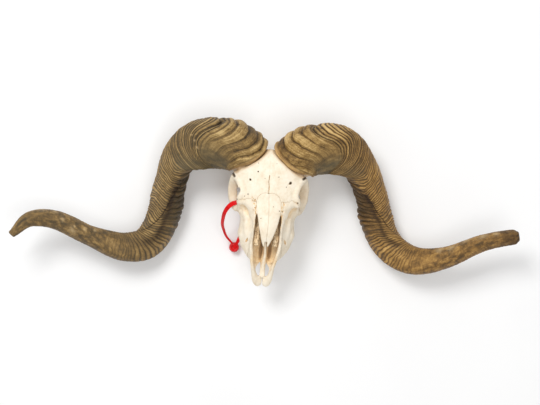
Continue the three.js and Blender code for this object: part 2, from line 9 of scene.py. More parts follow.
import bpy
import numpy as np
import openvdb
from mathutils import Euler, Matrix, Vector

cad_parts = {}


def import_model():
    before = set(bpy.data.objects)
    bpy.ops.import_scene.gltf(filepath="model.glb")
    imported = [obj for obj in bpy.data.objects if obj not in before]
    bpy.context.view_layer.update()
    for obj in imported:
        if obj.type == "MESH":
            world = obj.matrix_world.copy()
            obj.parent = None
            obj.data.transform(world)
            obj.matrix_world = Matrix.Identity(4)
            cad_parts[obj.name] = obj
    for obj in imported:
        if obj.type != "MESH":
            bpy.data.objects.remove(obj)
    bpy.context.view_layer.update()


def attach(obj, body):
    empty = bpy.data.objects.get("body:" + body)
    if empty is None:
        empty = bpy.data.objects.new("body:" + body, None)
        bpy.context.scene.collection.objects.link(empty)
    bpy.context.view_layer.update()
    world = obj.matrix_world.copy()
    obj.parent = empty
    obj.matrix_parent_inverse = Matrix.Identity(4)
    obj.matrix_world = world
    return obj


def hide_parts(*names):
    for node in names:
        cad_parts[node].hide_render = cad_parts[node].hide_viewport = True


MM = 0.001
SIDES = {"left": 1, "right": -1}

# ---- the camera ----

CAMERA_AT = (9.5, -0.84, 2342.0)
CAMERA_LENS = 81.5
SENSOR_WIDTH = 36.0


def add_camera():
    """A camera that looks straight down at the face."""
    data = bpy.data.cameras.new("camera")
    data.lens = CAMERA_LENS
    data.sensor_width = SENSOR_WIDTH
    data.sensor_fit = "HORIZONTAL"
    camera = bpy.data.objects.new("camera", data)
    camera.location = [v * MM for v in CAMERA_AT]
    bpy.context.scene.collection.objects.link(camera)
    bpy.context.scene.camera = camera


# ---- curves and noise ----

def cubic(p0, p1, p2, p3, w):
    """A Catmull-Rom curve from p1 to p2, at w from 0 to 1."""
    t0, t1 = 0.5 * (p2 - p0), 0.5 * (p3 - p1)
    return p1 + t0 * w + (3 * (p2 - p1) - 2 * t0 - t1) * w**2 + (2 * (p1 - p2) + t0 + t1) * w**3


def curve_at(points, t):
    """A smooth open curve through the points, at each t from 0 to 1."""
    points = np.asarray(points, float)
    last = len(points) - 1
    place = np.clip(np.asarray(t, float), 0, 1) * last
    i = np.minimum(place.astype(int), last - 1)
    padded = np.vstack([2 * points[0] - points[1], points, 2 * points[-1] - points[-2]])
    return cubic(*(padded[i + k] for k in range(4)), (place - i)[..., None])


def closed_curve(points, count):
    """Points on a smooth closed curve through the points."""
    total = len(points)
    places = np.arange(count) / count * total
    i = places.astype(int)
    return cubic(*(points[(i + k) % total] for k in (-1, 0, 1, 2)), (places % 1)[:, None])


def along_stations(stations, t):
    """Places and sizes along stations of (place, *sizes), at each t from 0 to 1."""
    return curve_at([s[0] for s in stations], t), curve_at([s[1:] for s in stations], t)


def ease(value, low, high):
    """A smooth step from 0 at low to 1 at high."""
    u = np.clip((value - low) / (high - low), 0, 1)
    return u * u * (3 - 2 * u)


def bump(value, middle, width):
    """A smooth hump that is 1 in its middle."""
    return np.exp(-(((value - middle) / width) ** 2))


def mix_corners(values, cells, parts):
    """Mix the eight grid values round each place: its lowest corner, and how far it lies past that."""
    total = 0
    for corner in range(8):
        steps = [(corner >> axis) & 1 for axis in range(3)]
        weight = 1
        for step, part in zip(steps, parts):
            weight = weight * (part if step else 1 - part)
        index = tuple((cell + step) % size for cell, step, size in zip(cells, steps, values.shape))
        total = total + weight * values[index]
    return total


def noise(x, y, z, seed):
    """Smooth value noise from -1 to 1 on a unit lattice that repeats."""
    lattice = np.random.RandomState(seed).uniform(-1, 1, (64, 64, 64)).astype(np.float32)
    cells, blends = [], []
    for value in np.broadcast_arrays(x, y, z):
        low = np.floor(value)
        part = value - low
        cells.append(low.astype(int) % 64)
        blends.append(part * part * (3 - 2 * part))
    return mix_corners(lattice, cells, blends)


# ---- meshes ----

def mesh_object(name, points, groups, material, smooth=True):
    """A mesh from points in millimetres and arrays of faces, each with one number of corners."""
    mesh = bpy.data.meshes.new(name)
    points = np.ascontiguousarray(points, np.float32) * np.float32(MM)
    groups = [np.asarray(group, np.int32) for group in groups]
    corners = np.concatenate([group.ravel() for group in groups])
    sizes = np.concatenate([np.full(len(group), group.shape[1]) for group in groups])
    mesh.vertices.add(len(points))
    mesh.vertices.foreach_set("co", points.ravel())
    mesh.loops.add(len(corners))
    mesh.loops.foreach_set("vertex_index", corners)
    mesh.polygons.add(len(sizes))
    mesh.polygons.foreach_set("loop_start", (np.cumsum(sizes) - sizes).astype(np.int32))
    mesh.update(calc_edges=True)
    mesh.polygons.foreach_set("use_smooth", np.full(len(sizes), smooth))
    mesh.validate()
    piece = bpy.data.objects.new(name, mesh)
    piece.data.materials.append(material)
    bpy.context.scene.collection.objects.link(piece)
    return piece


def add_attributes(piece, layers):
    """Store a number or a vector for each vertex under each name, for the material to read."""
    for name, values in layers.items():
        values = np.asarray(values, np.float32)
        kind, field = ("FLOAT", "value") if values.ndim == 1 else ("FLOAT_VECTOR", "vector")
        layer = piece.data.attributes.new(name, kind, "POINT")
        layer.data.foreach_set(field, values.ravel())


def grid_faces(rows, columns):
    """Quads of a tube of rows by columns, closed round the columns."""
    row, column = np.meshgrid(np.arange(rows - 1), np.arange(columns), indexing="ij")
    a = row * columns + column
    b = row * columns + (column + 1) % columns
    return np.stack([a, b, b + columns, a + columns], axis=-1).reshape(-1, 4)


def halves(quads):
    """The two triangles of each quad."""
    return np.concatenate([quads[:, [0, 1, 2]], quads[:, [0, 2, 3]]])


# ---- the horns ----

# Stations along each horn: centre, width from outer to inner edge, thickness across it, and the
# way that the inner edge points in degrees, from -Y (0) through +Z (90) to +Y (180).
LEFT_HORN = [
    ((53, 70, 97), 92, 73, -48),
    ((69, 82, 102), 96, 76, -38),
    ((92, 92, 104), 96, 74, -28),
    ((132, 94, 100), 92, 69, -5),
    ((176, 64, 71), 80, 56, 45),
    ((201, 14, 42.5), 76, 55, 75),
    ((211, -30, 35.9), 71, 58, 94),
    ((230, -77, 43), 64, 56, 125),
    ((276, -110, 57), 54, 45, 172),
    ((335, -103, 76), 41, 37, 202),
    ((400, -74.5, 94), 32, 31, 226),
    ((462, -62, 106), 28, 27, 240),
]
RIGHT_HORN = [
    ((-32, 77, 97), 90, 71, -48),
    ((-47, 91.5, 102), 97, 75, -38),
    ((-71, 103, 105), 97, 75, -28),
    ((-112, 106, 99), 92, 70, -5),
    ((-160, 81, 70), 80, 56, 45),
    ((-181, 32, 43.5), 76, 55, 75),
    ((-194, -28, 35.6), 71, 59, 96),
    ((-221, -72, 43), 64, 55, 130),
    ((-266, -84, 57), 54, 44, 170),
    ((-325, -62, 75), 38, 35, 202),
    ((-385, -32, 91), 36, 32, 226),
    ((-430, -31, 103), 30, 28, 245),
    ((-462, -59, 109), 14, 14, 250),
]
MODEL_SHIFT = np.array([0.5, 0.96, 0])  # from the stations' frame to the model's
TANGENT_REACH = 0.45  # how far to each side, in stations, a horn's direction is taken
HORN_EGG = 0.24  # how much its section narrows towards the inner edge
HORN_BLUNT = 0.75  # a lower power makes the outer edge flatter


class HornShape:
    """The smooth form of one horn, before its rings."""

    def __init__(self, stations, front):
        self.front = front
        self.centres = np.array([station[0] for station in stations], float)
        self.sizes = np.array([station[1:] for station in stations], float)
        self.fine = np.linspace(0, 1, 4000)
        line = curve_at(self.centres, self.fine)
        steps = np.linalg.norm(np.diff(line, axis=0), axis=1)
        self.distance = np.concatenate([[0], np.cumsum(steps)])
        self.length = self.distance[-1]

    def frame(self, along):
        """Centre, direction, inner direction, across direction and sizes at distances along."""
        t = np.interp(along, self.distance, self.fine)
        reach = TANGENT_REACH / (len(self.centres) - 1)
        ahead = curve_at(self.centres, np.clip(t + reach, 0, 1))
        tangent = ahead - curve_at(self.centres, np.clip(t - reach, 0, 1))
        tangent /= np.linalg.norm(tangent, axis=-1, keepdims=True)
        sizes = curve_at(self.sizes, t)
        turn = np.radians(sizes[..., 2])
        inner = np.stack([0 * turn, -np.cos(turn), np.sin(turn)], axis=-1)
        inner -= tangent * np.sum(inner * tangent, axis=-1, keepdims=True)
        inner /= np.linalg.norm(inner, axis=-1, keepdims=True)
        centre = curve_at(self.centres, t) + MODEL_SHIFT
        overshoot = np.where(along < 0, along, np.maximum(along - self.length, 0))
        centre = centre + tangent * overshoot[..., None]
        return centre, tangent, inner, np.cross(tangent, inner), sizes

    def surface(self, along, angle, share=1.0):
        """Points at distances along and angles from the inner edge, towards the front face."""
        centre, _, inner, across, sizes = self.frame(along)
        cos, sin = np.cos(angle), np.sin(angle) * self.front
        inward = np.where(cos > 0, cos, -(np.abs(cos) ** HORN_BLUNT))
        half_wide = sizes[..., 0] / 2 * inward * share
        half_thick = sizes[..., 1] / 2 * (1 - HORN_EGG * cos) * sin * share
        return centre + inner * half_wide[..., None] + across * half_thick[..., None]


HORN_ROWS = 640
HORN_COLUMNS = 256
HORN_CAP_ROWS = 14
HORN_CAP = 3  # how far the end bulges past the last row
FLOOR_GAP = 0.2
ROOT_GIRTH = 40  # about the mean radius at the root
# The wall inside the sheath's root: share of the horn's size and distance up from its edge.
ROOT_WALL = [(0.86, 22), (0.9, 12), (0.925, 4), (0.94, 0.6), (0.965, -0.2)]

# What marks each horn: places are distances along it and degrees from the inner edge towards the
# front face. The sheath's edge starts further along on the front, and a crack parts its first block.
LEFT_MARKS = {
    "seed": 11,
    "edge": (12, 62, 36),
    "crack": (49, 86, 196),
    "crease": [(160, -62), (174, -52), (203, -30), (241, -4), (264, 14), (302, 32), (340, 34), (420, 30)],
    "valley": [(190, -34), (236, -22), (273, -8), (310, -26), (370, -40)],
    "keel": [(395, -96), (420, -90), (450, -80), (480, -100), (530, -132), (558, -142)],
    # The pale spots along the ridge of the tip and on the front face are painted highlights.
    "pale": [
        (425, -50, 8), (448, -66, 9), (478, -60, 9), (508, -84, 9), (395, 60, 12), (532, -96, 6),
        (350, 40, 9),
    ],
    "grey": 0.15,
    "end": 0.55,
    "worn_end": 4.5,
    "scars": [(60, 162, 2.4), (178, -38, 3.0), (196, -20, 2.6)],
    "blunt": 0.42,
}
RIGHT_MARKS = {
    "seed": 47,
    "edge": (9, 80, 44),
    "crack": (59, 84, 200),
    "crease": [(168, -70), (190, -56), (225, -38), (262, -10), (300, 8), (345, 18), (440, 20)],
    "valley": [(200, -44), (235, -34), (279, -28), (322, -56), (380, -60)],
    "keel": [(330, -60), (360, -70), (400, -80), (450, -90)],
    "pale": [
        (503, -114, 5), (478, -114, 3), (459, -96, 4), (478, -150, 7), (540, -70, 8), (519, -76, 5),
        (94, 106, 1.6), (91, 84, 2), (92, 95, 1.4), (440, -70, 4),
    ],
    "grey": 0.6,
    "end": 0.0,
    "worn_end": 0.0,
    "scars": [(72, 122, 1.8), (185, -44, 2.6)],
    "blunt": 0.5,
}
EDGE_OVERLAP = 5  # how far the edge of the sheath runs over the bone on the medial side
SWEEP = 38  # how far the rings run ahead on the front face, in millimetres
# Sets of rings: seed step, pitch, its growth per millimetre and where that starts, sharpness, variety.
RINGS = {
    "broad": (2, 9.0, 0, 0, 2.0, 0.6),
    "furrows": (2, 9.0, 0, 0, 6.0, 0.6),
    "annuli": (3, 4.7, 0.006, 120, 2.2, 0.6),
    "lines": (3, 4.7, 0.006, 120, 3.2, 0.25),
    "knots": (4, 10.5, 0.01, 150, 2.6, 0.6),
    "fine": (5, 2.2, 0, 0, 2.0, 0.6),
}
# Distances along the horn over which one part of it passes into the next.
BLOCK_END = (46, 56)
MIDDLE_START = (40, 60)
DROP_START = (118, 155)
KNOBS_END = (235, 320)
TIP_START = (0.5, 0.74)  # in shares of its length


def ring_heights(length, seed, pitch, growth, growth_start, sharpness, variety):
    """Irregular rings along a horn: 0 in the grooves between them and about 1 on their crests."""
    random = np.random.RandomState(seed)
    edges = [-60.0]
    while edges[-1] < length + 80:
        gap = pitch + growth * max(edges[-1] - growth_start, 0)
        edges.append(edges[-1] + gap * random.uniform(0.68, 1.4))
    edges = np.array(edges)
    heights = 1.1 - variety * random.uniform(0, 1, len(edges))
    grid = np.arange(-50, length + 60, 0.2)
    ring = np.searchsorted(edges, grid, side="right") - 1
    part = (grid - edges[ring]) / (edges[ring + 1] - edges[ring])
    return grid, heights[ring] * (1 - np.abs(2 * part - 1) ** sharpness)


def sheath_edge(marks, degrees, rows):
    """How far along the horn its sheath starts at each angle; it eases out up the horn."""
    lift, lift_at, lift_width = marks["edge"]
    lifted = lift * bump(degrees, lift_at, lift_width) * np.clip(1 - rows / 90, 0, 1) ** 2
    overlap = EDGE_OVERLAP * bump(np.mod(degrees, 360), 180, 42) * np.clip(1 - rows / 60, 0, 1) ** 2
    return lifted - overlap


class HornSkin:
    """The relief and colouring of one horn, on a grid of rows along it and columns round it."""

    def __init__(self, shape, marks):
        self.shape, self.marks, self.seed = shape, marks, marks["seed"]
        self.rows = np.linspace(0, shape.length, HORN_ROWS)[:, None]
        self.angle = np.linspace(-np.pi, np.pi, HORN_COLUMNS, endpoint=False)[None, :]
        self.degrees = np.degrees(self.angle)
        self.around = (np.cos(self.angle), np.sin(self.angle))
        self.girth = ROOT_GIRTH * (1 - 0.6 * self.rows / shape.length)
        self.along = self.rows + sheath_edge(marks, self.degrees, self.rows)
        self.age = self.rows - self.ring_lead()
        self.ring_age = self.age + self.ring_wander()
        self.rings = {name: self.ring_set(*numbers) for name, numbers in RINGS.items()}
        self.set_zones()
        self.set_crack()
        self.crease = self.line("crease", 1.3)
        self.valley = self.line("valley", 7.5)
        self.keel = self.line("keel", 2.2)

    def noise(self, at, spread, step):
        x, y = self.around
        return noise(at, x * spread, y * spread, self.seed + step)

    def grain(self, size, step):
        """Noise with cells of this size in millimetres."""
        x, y = self.around
        return noise(self.rows / size, x * self.girth / size, y * self.girth / size, self.seed + step)

    def ring_lead(self):
        """How far the rings run ahead: most on the front face, and along the crease further up."""
        rows, length = self.rows, self.shape.length
        past_block = ease(rows, 125, 200)
        crease_at = np.interp(rows, *np.array(self.marks["crease"], float).T)
        reach = SWEEP * (0.12 + 0.88 * np.clip(rows / 70, 0, 1)) * (1 - 0.74 * ease(rows, 84, 142))
        reach = (reach + 7 * past_block) * (1 - 0.8 * ease(rows, 0.55 * length, 0.8 * length))
        share = bump(self.degrees, 68 + (crease_at - 68) * past_block, 60)
        share = share + 0.45 * bump(self.degrees, -112, 48) * (1 - past_block)
        return reach * share

    def ring_wander(self):
        """How far the rings stray, less on the first block."""
        loose = 0.35 + 0.65 * ease(self.rows, 120, 180)
        wander = 2.8 * loose * self.noise(self.age / 34, 1.7, 0)
        return wander + 1.7 * loose * self.noise(self.age / 9, 4.4, 1)

    def ring_set(self, step, *numbers):
        grid, heights = ring_heights(self.shape.length, self.seed + step, *numbers)
        return np.interp(self.ring_age, grid, heights)

    def set_zones(self):
        """How much each place belongs to each face of the horn and to each part of its length."""
        rows, degrees, length = self.rows, self.degrees, self.shape.length
        self.outer = bump(np.abs(degrees), 180, 74)
        self.front = bump(degrees, 70, 62)
        self.block = 1 - ease(self.age, *BLOCK_END)
        self.drop = ease(self.age, *DROP_START)
        self.middle = ease(self.age, *MIDDLE_START) * (1 - self.drop)
        self.tip = ease(rows, *(share * length for share in TIP_START))
        self.knobbed = bump(degrees, -78, 48) * (1 - ease(rows, *KNOBS_END))
        self.smooth = self.block * np.minimum(1.25 * bump(degrees, 44, 40), 1) * ease(rows, 12, 36)

    def set_crack(self):
        """The crack past the first block, the notch where it meets the outer edge and the step before it."""
        crack_age, start, end = self.marks["crack"]
        turned = np.where(self.degrees < -90, self.degrees + 360, self.degrees)
        past = self.ring_age - crack_age
        opened = ease(turned, start - 14, start + 16) * (1 - ease(turned, end, end + 26))
        shoulder = ease(turned, 8, 30) * (1 - ease(turned, start + 6, start + 34))
        self.crack = bump(past, 0, 0.95) * opened
        self.notch = bump(past, 0.5, 2.4) * bump(turned, 182, 40)
        self.step = shoulder * np.where(past < 0, np.exp(np.minimum(past, 0) / 16), 0)

    def line(self, mark, width):
        """1 along the middle of a marked line and 0 away from it."""
        at, degree = np.array(self.marks[mark], float).T
        away = np.radians(self.degrees - np.interp(self.rows, at, degree)) * self.girth
        ends = ease(self.rows, at[0] - 12, at[0] + 14) * (1 - ease(self.rows, at[-1] - 60, at[-1]))
        return bump(away, 0, width) * ends

    def spots(self, mark, step):
        """1 in the middle of each marked spot, with ragged edges."""
        ragged = 1 + 0.7 * self.grain(3, step)
        total = 0
        for at, degree, size in self.marks[mark]:
            away = np.radians(self.degrees - degree) * self.girth
            total = total + np.exp(-(((self.rows - at) / size) ** 2 + (away / size) ** 2) * ragged * 1.5)
        return total

    def ring_relief(self):
        """How far the rings stand out, in millimetres."""
        broad, annuli, knots, fine = (self.rings[name] for name in ("broad", "annuli", "knots", "fine"))
        outer, front = self.outer, self.front
        patch = 0.75 + 0.4 * self.noise(self.ring_age / 26, 2, 6)
        on_block = 6.4 * broad * (0.12 + outer) * patch + 0.8 * fine * (0.4 + front)
        in_middle = 1.9 * annuli * (0.45 + front + 0.3 * outer) * (0.5 + patch / 2)
        in_middle = in_middle + 0.8 * broad * outer
        on_drop = 1.7 * annuli * (0.4 + front) * patch + 6.2 * knots * (0.04 + self.knobbed)
        height = self.block * (1 - 0.95 * self.smooth) * on_block
        height = height + self.middle * in_middle
        height = height + self.drop * (1 - self.tip) * on_drop
        return height + self.tip * (0.35 * annuli + 0.2 * fine)

    def ring_tone(self):
        """How pale each place is: about 0 in the grooves and 1 on the crests."""
        furrows, lines, knots, fine = (self.rings[name] for name in ("furrows", "lines", "knots", "fine"))
        knobbed, drop, tip = self.knobbed, self.drop, self.tip
        furrow = 1 - (1 - furrows) * (0.3 + 0.7 * self.outer)
        tone = self.block * (0.62 * furrow + 0.25 * fine) + self.middle * (1.25 * lines + 0.15 * fine - 0.45)
        tone = tone + drop * (1.1 * lines * (1 - knobbed) + 0.72 * knots * knobbed + 0.15 * fine - 0.22)
        worn = 0.12 * self.noise(self.ring_age / 11, 3.2, 14)
        tone = tone + worn - 0.14 * ease(self.rows, 60, 100)
        tone = np.clip(tone * (1 - 0.75 * tip) + 0.46 * tip, 0, 1.2)
        tone = tone * (1 - 0.25 * knobbed * drop) - 0.16 * self.marks["grey"] * ease(self.rows, 200, 290)
        return tone + (0.45 - tone) * 0.9 * self.smooth

    def height(self):
        """How far the skin stands out from the smooth form, in millimetres."""
        rows, length = self.rows, self.shape.length
        height = self.ring_relief() - 3.2 * self.crack - 8.0 * self.notch + 1.6 * self.step
        height = height - 1.7 * self.crease - 3.0 * self.valley + 1.3 * self.keel
        lumps = 1.6 * self.noise(rows / 34, 1.5, 7)
        height = height + lumps * (1 - 0.5 * self.tip) + 0.25 * self.grain(7, 8)
        height = height - self.marks["worn_end"] * np.clip((rows - length + 9) / 9, 0, 1) ** 2
        return height - 0.7 + bump(rows, 4, 3.5) - 1.4 * np.exp(-rows / 3.0)

    def darkness(self):
        """Dark in the scars, the crack and the crease, and at a worn end; the darkening along the valley is
        painted shade.
        """
        rows, length = self.rows, self.shape.length
        nicks = bump(np.mod(self.ring_age, 5.2), 2.6, 1.3) * self.line("crease", 12) * (1 - self.tip)
        nicks = nicks * ease(self.noise(self.ring_age / 8, 6, 15), -0.2, 0.5) * (1 - ease(rows, 250, 300))
        hem = bump(rows, 7.5, 1.0) * bump(self.degrees, 110, 60)
        dark = self.spots("scars", 13) + 0.6 * hem + 1.3 * self.crack + 0.7 * self.notch
        # The valley's darkening is painted shade in its hollow.
        dark = dark + 0.8 * self.crease + 0.75 * self.valley * self.drop + 0.8 * nicks
        dark = dark + 0.3 * self.knobbed * self.drop * (1 - self.rings["knots"])
        return dark + self.marks["end"] * ease(rows, length - 30, length - 22)

    def layers(self):
        """What the material reads at each vertex."""
        rows, marks, (x, y) = self.rows, self.marks, self.around
        grey = 0.9 * self.smooth + 0.5 * self.middle * bump(self.degrees, 20, 40)
        grey = grey + marks["grey"] * (0.5 + 0.5 * ease(rows, 30, 120))
        warmth = 0.05 + 0.8 * ease(rows, 50, 130) + 0.2 * ease(rows, 130, 190) * self.front
        rim = bump(rows, 2.4, 3.8) * (0.75 + 0.35 * noise(self.angle * 3, 0, 0, self.seed + 10))
        along_rings = [per_vertex(part) for part in (self.ring_age, self.girth * x, self.girth * y)]
        return {
            "lines": np.stack(along_rings, axis=-1),
            "crest": per_vertex(self.ring_tone()),
            "dark": per_vertex(np.clip(self.darkness(), 0, 1), marks["end"]),
            "grey": per_vertex(np.clip(grey, 0, 1)),
            # pale spots: painted highlights on the left horn, pale chips and blotches on the right horn
            "pale": per_vertex(np.clip(self.spots("pale", 12), 0, 1), 0),
            "rim": per_vertex(rim),
            "gold": per_vertex(np.clip(warmth, 0, 1) * (1 - marks["grey"])),
            "plain": per_vertex(np.clip(0.85 * self.smooth + 0.75 * self.tip, 0, 1)),
        }

    def wall(self):
        points = self.shape.surface(self.along, self.angle)
        points = points + surface_normals(points) * self.height()[..., None]
        points[..., 2] = np.maximum(points[..., 2], FLOOR_GAP)
        return points

    def root(self):
        """The sheath is open at its root: its wall turns inwards and runs up round the bony core."""
        edge = self.along[:1]
        rings = [self.shape.surface(edge + depth, self.angle, share)[0] for share, depth in ROOT_WALL]
        return np.array(rings)

    def end(self, last_ring):
        """Rows that close the horn beyond its last ring."""
        turn = np.linspace(0, np.pi / 2, HORN_CAP_ROWS + 1)[1:, None]
        share = np.cos(turn) ** self.marks["blunt"]
        share[-1] = 0
        share = share * (1 + 0.05 * self.noise(turn * 3, 3, 9))
        along = self.shape.length + HORN_CAP * np.sin(turn)
        centres = self.shape.frame(along + 0 * self.angle)[0]
        arms = last_ring - self.shape.frame(np.full((1, HORN_COLUMNS), self.shape.length))[0][0]
        return centres + arms[None] * share[..., None]


def per_vertex(values, end_value=None):
    """Carry a horn's values on to the rows of its root and end and to the centre of its root."""
    values = np.broadcast_to(values, (HORN_ROWS, HORN_COLUMNS))
    root = np.repeat(values[:1], len(ROOT_WALL), axis=0)
    end = np.repeat(values[-1:], HORN_CAP_ROWS, axis=0)
    if end_value is not None:
        end = end * 0 + end_value
    values = np.concatenate([root, values, end]).ravel()
    return np.append(values, values[0])


def horn_piece(name, shape, marks, material):
    """One whole horn, with its rings, crack and creases, as a closed mesh."""
    skin = HornSkin(shape, marks)
    wall = skin.wall()
    grid = np.concatenate([skin.root(), wall, skin.end(wall[-1])])
    points = grid.reshape(-1, 3)
    points = np.vstack([points, points[:HORN_COLUMNS].mean(axis=0)])
    ring = np.arange(HORN_COLUMNS)
    fan = np.stack([np.roll(ring, -1), ring, np.full(HORN_COLUMNS, len(points) - 1)], axis=-1)
    quads = grid_faces(len(grid), HORN_COLUMNS)
    if shape.front > 0:
        quads, fan = quads[:, ::-1], fan[:, ::-1]
    piece = mesh_object(name, points, [halves(quads), fan], material)
    add_attributes(piece, skin.layers())
    return piece


def surface_normals(points):
    """Outward unit normals of a tube of points, rows by columns."""
    down = np.gradient(points, axis=0)
    round_ = (np.roll(points, -1, axis=1) - np.roll(points, 1, axis=1)) / 2
    normals = np.cross(down, round_)
    normals /= np.linalg.norm(normals, axis=-1, keepdims=True)
    outward = points - points.mean(axis=1, keepdims=True)
    sign = np.sign(np.sum(normals * outward, axis=(0, 1, 2)))
    return normals * sign


# ---- the skull: a distance field, negative inside, in the skull's own frame ----
# x to the animal's left, y to the poll and d below the forehead, in millimetres.

FACE_HEIGHT = 142  # the forehead above the floor
SKULL_PIVOT = (3, -29)
SKULL_YAW = math.radians(-3.8)
# The nose leans aside: how far, where most, over what length and down to what depth.
NOSE_LEAN = 3.8
NOSE_LEAN_Y = -5
NOSE_LEAN_LENGTH = 50
NOSE_LEAN_DEPTH = 75
NOSE_TIP_LEAN = 1.5
VOXEL = 0.8
LOW = (-82, -132, -6)  # the corners of the clay
HIGH = (82, 128, 146)
GAP = 0.1  # between neighbouring bones

# Sections from the poll to the nose: y, top, roof, cheek, gum and bottom, each as x and d.
SKULL_SECTIONS = [
    (122, 6, (26, 13), (38, 36), (31, 74), 92),
    (112, 0, (34, 6), (48, 40), (40, 92), 117),
    (92, -3, (48, 5), (51, 44), (38, 100), 124),
    (68, -3, (59, 12), (47, 40), (26, 98), 120),
    (45, -2, (51.5, 12), (42, 32), (20, 86), 104),
    (27, -1, (45, 12), (49, 34), (30, 84), 90),
    (8, -3, (27, 7), (48, 42), (37, 88), 84),
    (-18, -3, (24, 8), (47, 47), (35, 82), 76),
    (-36, 2, (23, 13), (48, 52), (32, 76), 70),
    (-55, 12, (22, 20), (44.5, 50), (27, 68), 65),
    (-74, 22, (20, 28), (31, 48), (20, 62), 62),
    (-84, 48, (14, 49), (19, 55), (13, 61), 61),
]


def both(*fields):
    """The field that is negative where all of these are."""
    return functools.reduce(np.maximum, fields)


def without(field, *others):
    """A field less the others, each grown by the gap."""
    return both(field, *(-(other - GAP) for other in others))


def smooth_min(a, b, blend):
    """The lesser of two fields, rounded where they meet."""
    share = np.clip(0.5 + 0.5 * (b - a) / blend, 0, 1)
    return b + (a - b) * share - blend * share * (1 - share)


def lean(y, d):
    """How far the nose leans to the left side, and its end a little back to the right."""
    share = np.clip(1 - d / NOSE_LEAN_DEPTH, 0, 1)
    leant = NOSE_LEAN * bump(y, NOSE_LEAN_Y, NOSE_LEAN_LENGTH) * share
    return leant - NOSE_TIP_LEAN * ease(-y, 60, 92)


def ball(at, radii, angles=(0, 0, 0)):
    """An ellipsoid, which may be turned."""
    axes = np.array(Euler([math.radians(a) for a in angles]).to_matrix()).T
    reach = np.abs(axes.T) @ np.array(radii, float)

    def distance(x, y, d):
        shifted = (x - at[0], y - at[1], d - at[2])
        local = [sum(axis[k] * shifted[k] for k in range(3)) for axis in axes]
        near = np.sqrt(sum((c / r) ** 2 for c, r in zip(local, radii)))
        slope = np.sqrt(sum((c / r**2) ** 2 for c, r in zip(local, radii)))
        return near * (near - 1) / np.maximum(slope, 1e-4)

    return np.array(at) - reach, np.array(at) + reach, distance


def sweep(stations, spacing=2.5):
    """Ovals along a curve of (place, width, height), kept as upright as they can be."""
    places = np.array([s[0] for s in stations], float)
    length = np.sum(np.linalg.norm(np.diff(places, axis=0), axis=1))
    count = max(4, int(length / spacing))
    line, size = along_stations(stations, np.linspace(0, 1, count + 1))
    ends = zip(line[:-1], line[1:], size[:-1], size[1:])
    return [slice_of_sweep(a, b, (size_a + size_b) / 4) for a, b, size_a, size_b in ends]


def slice_of_sweep(start, end, half):
    """A short length of an oval rod."""
    middle = (start + end) / 2
    along = end - start
    reach = np.linalg.norm(along) / 2
    along = along / (2 * reach)
    across = np.cross(along, (0, 0, 1))
    across = across / np.linalg.norm(across)
    upright = np.cross(across, along)

    def distance(x, y, d):
        shifted = (x - middle[0], y - middle[1], d - middle[2])
        s, u, v = (sum(axis[k] * shifted[k] for k in range(3)) for axis in (along, across, upright))
        near = np.sqrt((u / half[0]) ** 2 + (v / half[1]) ** 2)
        slope = np.sqrt((u / half[0] ** 2) ** 2 + (v / half[1] ** 2) ** 2)
        side = near * (near - 1) / np.maximum(slope, 1e-4)
        beyond = np.maximum(np.abs(s) - reach, 0)
        return np.where(side > 0, np.hypot(side, beyond), np.maximum(side, beyond - 0.3))

    margin = max(half) + reach
    return middle - margin, middle + margin, distance


def outline_distance(points, x, y):
    """Signed distance in a plane from a closed outline, negative inside."""
    points = np.array(points, float)
    nearest = np.full(np.broadcast(x, y).shape, 1e9, np.float32)
    inside = np.zeros(nearest.shape, bool)
    for (ax, ay), (bx, by) in zip(points, np.roll(points, -1, axis=0)):
        ex, ey = bx - ax, by - ay
        wx, wy = x - ax, y - ay
        share = np.clip((wx * ex + wy * ey) / (ex * ex + ey * ey + 1e-9), 0, 1)
        nearest = np.minimum(nearest, (wx - ex * share) ** 2 + (wy - ey * share) ** 2)
        crosses = (ay > y) != (by > y)
        inside ^= crosses & (wx < ex * wy / (ey if ey else 1e-9))
    return np.where(inside, -1, 1) * np.sqrt(nearest)


def prism(outline, top, bottom):
    """An upright prism of an outline in x and y, between two depths."""
    points = np.array(outline, float)
    low = np.array([*points.min(axis=0), top])
    high = np.array([*points.max(axis=0), bottom])

    def distance(x, y, d):
        return both(outline_distance(points, x, y), top - d, d - bottom)

    return low, high, distance


class Clay:
    """A solid on a grid that shapes are joined to and cut from."""

    def __init__(self):
        self.axes = [np.arange(lo, hi, VOXEL, dtype=np.float32) for lo, hi in zip(LOW, HIGH)]
        self.value = np.full([len(axis) for axis in self.axes], 50, np.float32)
        self.touch = np.zeros_like(self.value)  # 1 where the bone meets a horn

    def window(self, low, high, margin):
        """The part of the grid between two corners, and the places of its voxels."""
        slices = []
        for axis, lo, hi in zip(self.axes, low, high):
            first = np.searchsorted(axis, lo - margin)
            last = np.searchsorted(axis, hi + margin)
            slices.append(slice(first, max(last, first + 1)))
        slices = tuple(slices)
        x = self.axes[0][slices[0]][:, None, None]
        y = self.axes[1][slices[1]][None, :, None]
        d = self.axes[2][slices[2]][None, None, :]
        return slices, (x, y, d)

    def join(self, shapes, blend=4.0):
        for low, high, distance in listed(shapes):
            slices, place = self.window(low, high, blend + 3)
            self.value[slices] = smooth_min(self.value[slices], distance(*place), blend)

    def cut(self, shapes, blend=2.0):
        for low, high, distance in listed(shapes):
            slices, place = self.window(low, high, blend + 3)
            self.value[slices] = -smooth_min(-self.value[slices], distance(*place), blend)

    def soften(self):
        """Average each voxel a little with its neighbours."""
        for axis in range(3):
            ahead = np.roll(self.value, -1, axis)
            behind = np.roll(self.value, 1, axis)
            self.value = 0.5 * self.value + 0.25 * (ahead + behind)


def listed(shapes):
    return shapes if isinstance(shapes, list) else [shapes]


def mirrored(stations, side):
    return [((side * place[0], *place[1:]), *sizes) for place, *sizes in stations]


def side_ball(side, at, radii, turn=(0, 0, 0)):
    """An ellipsoid of the left half, or its mirror image for side -1."""
    return ball((at[0] * side, *at[1:]), radii, (turn[0], turn[1] * side, turn[2] * side))


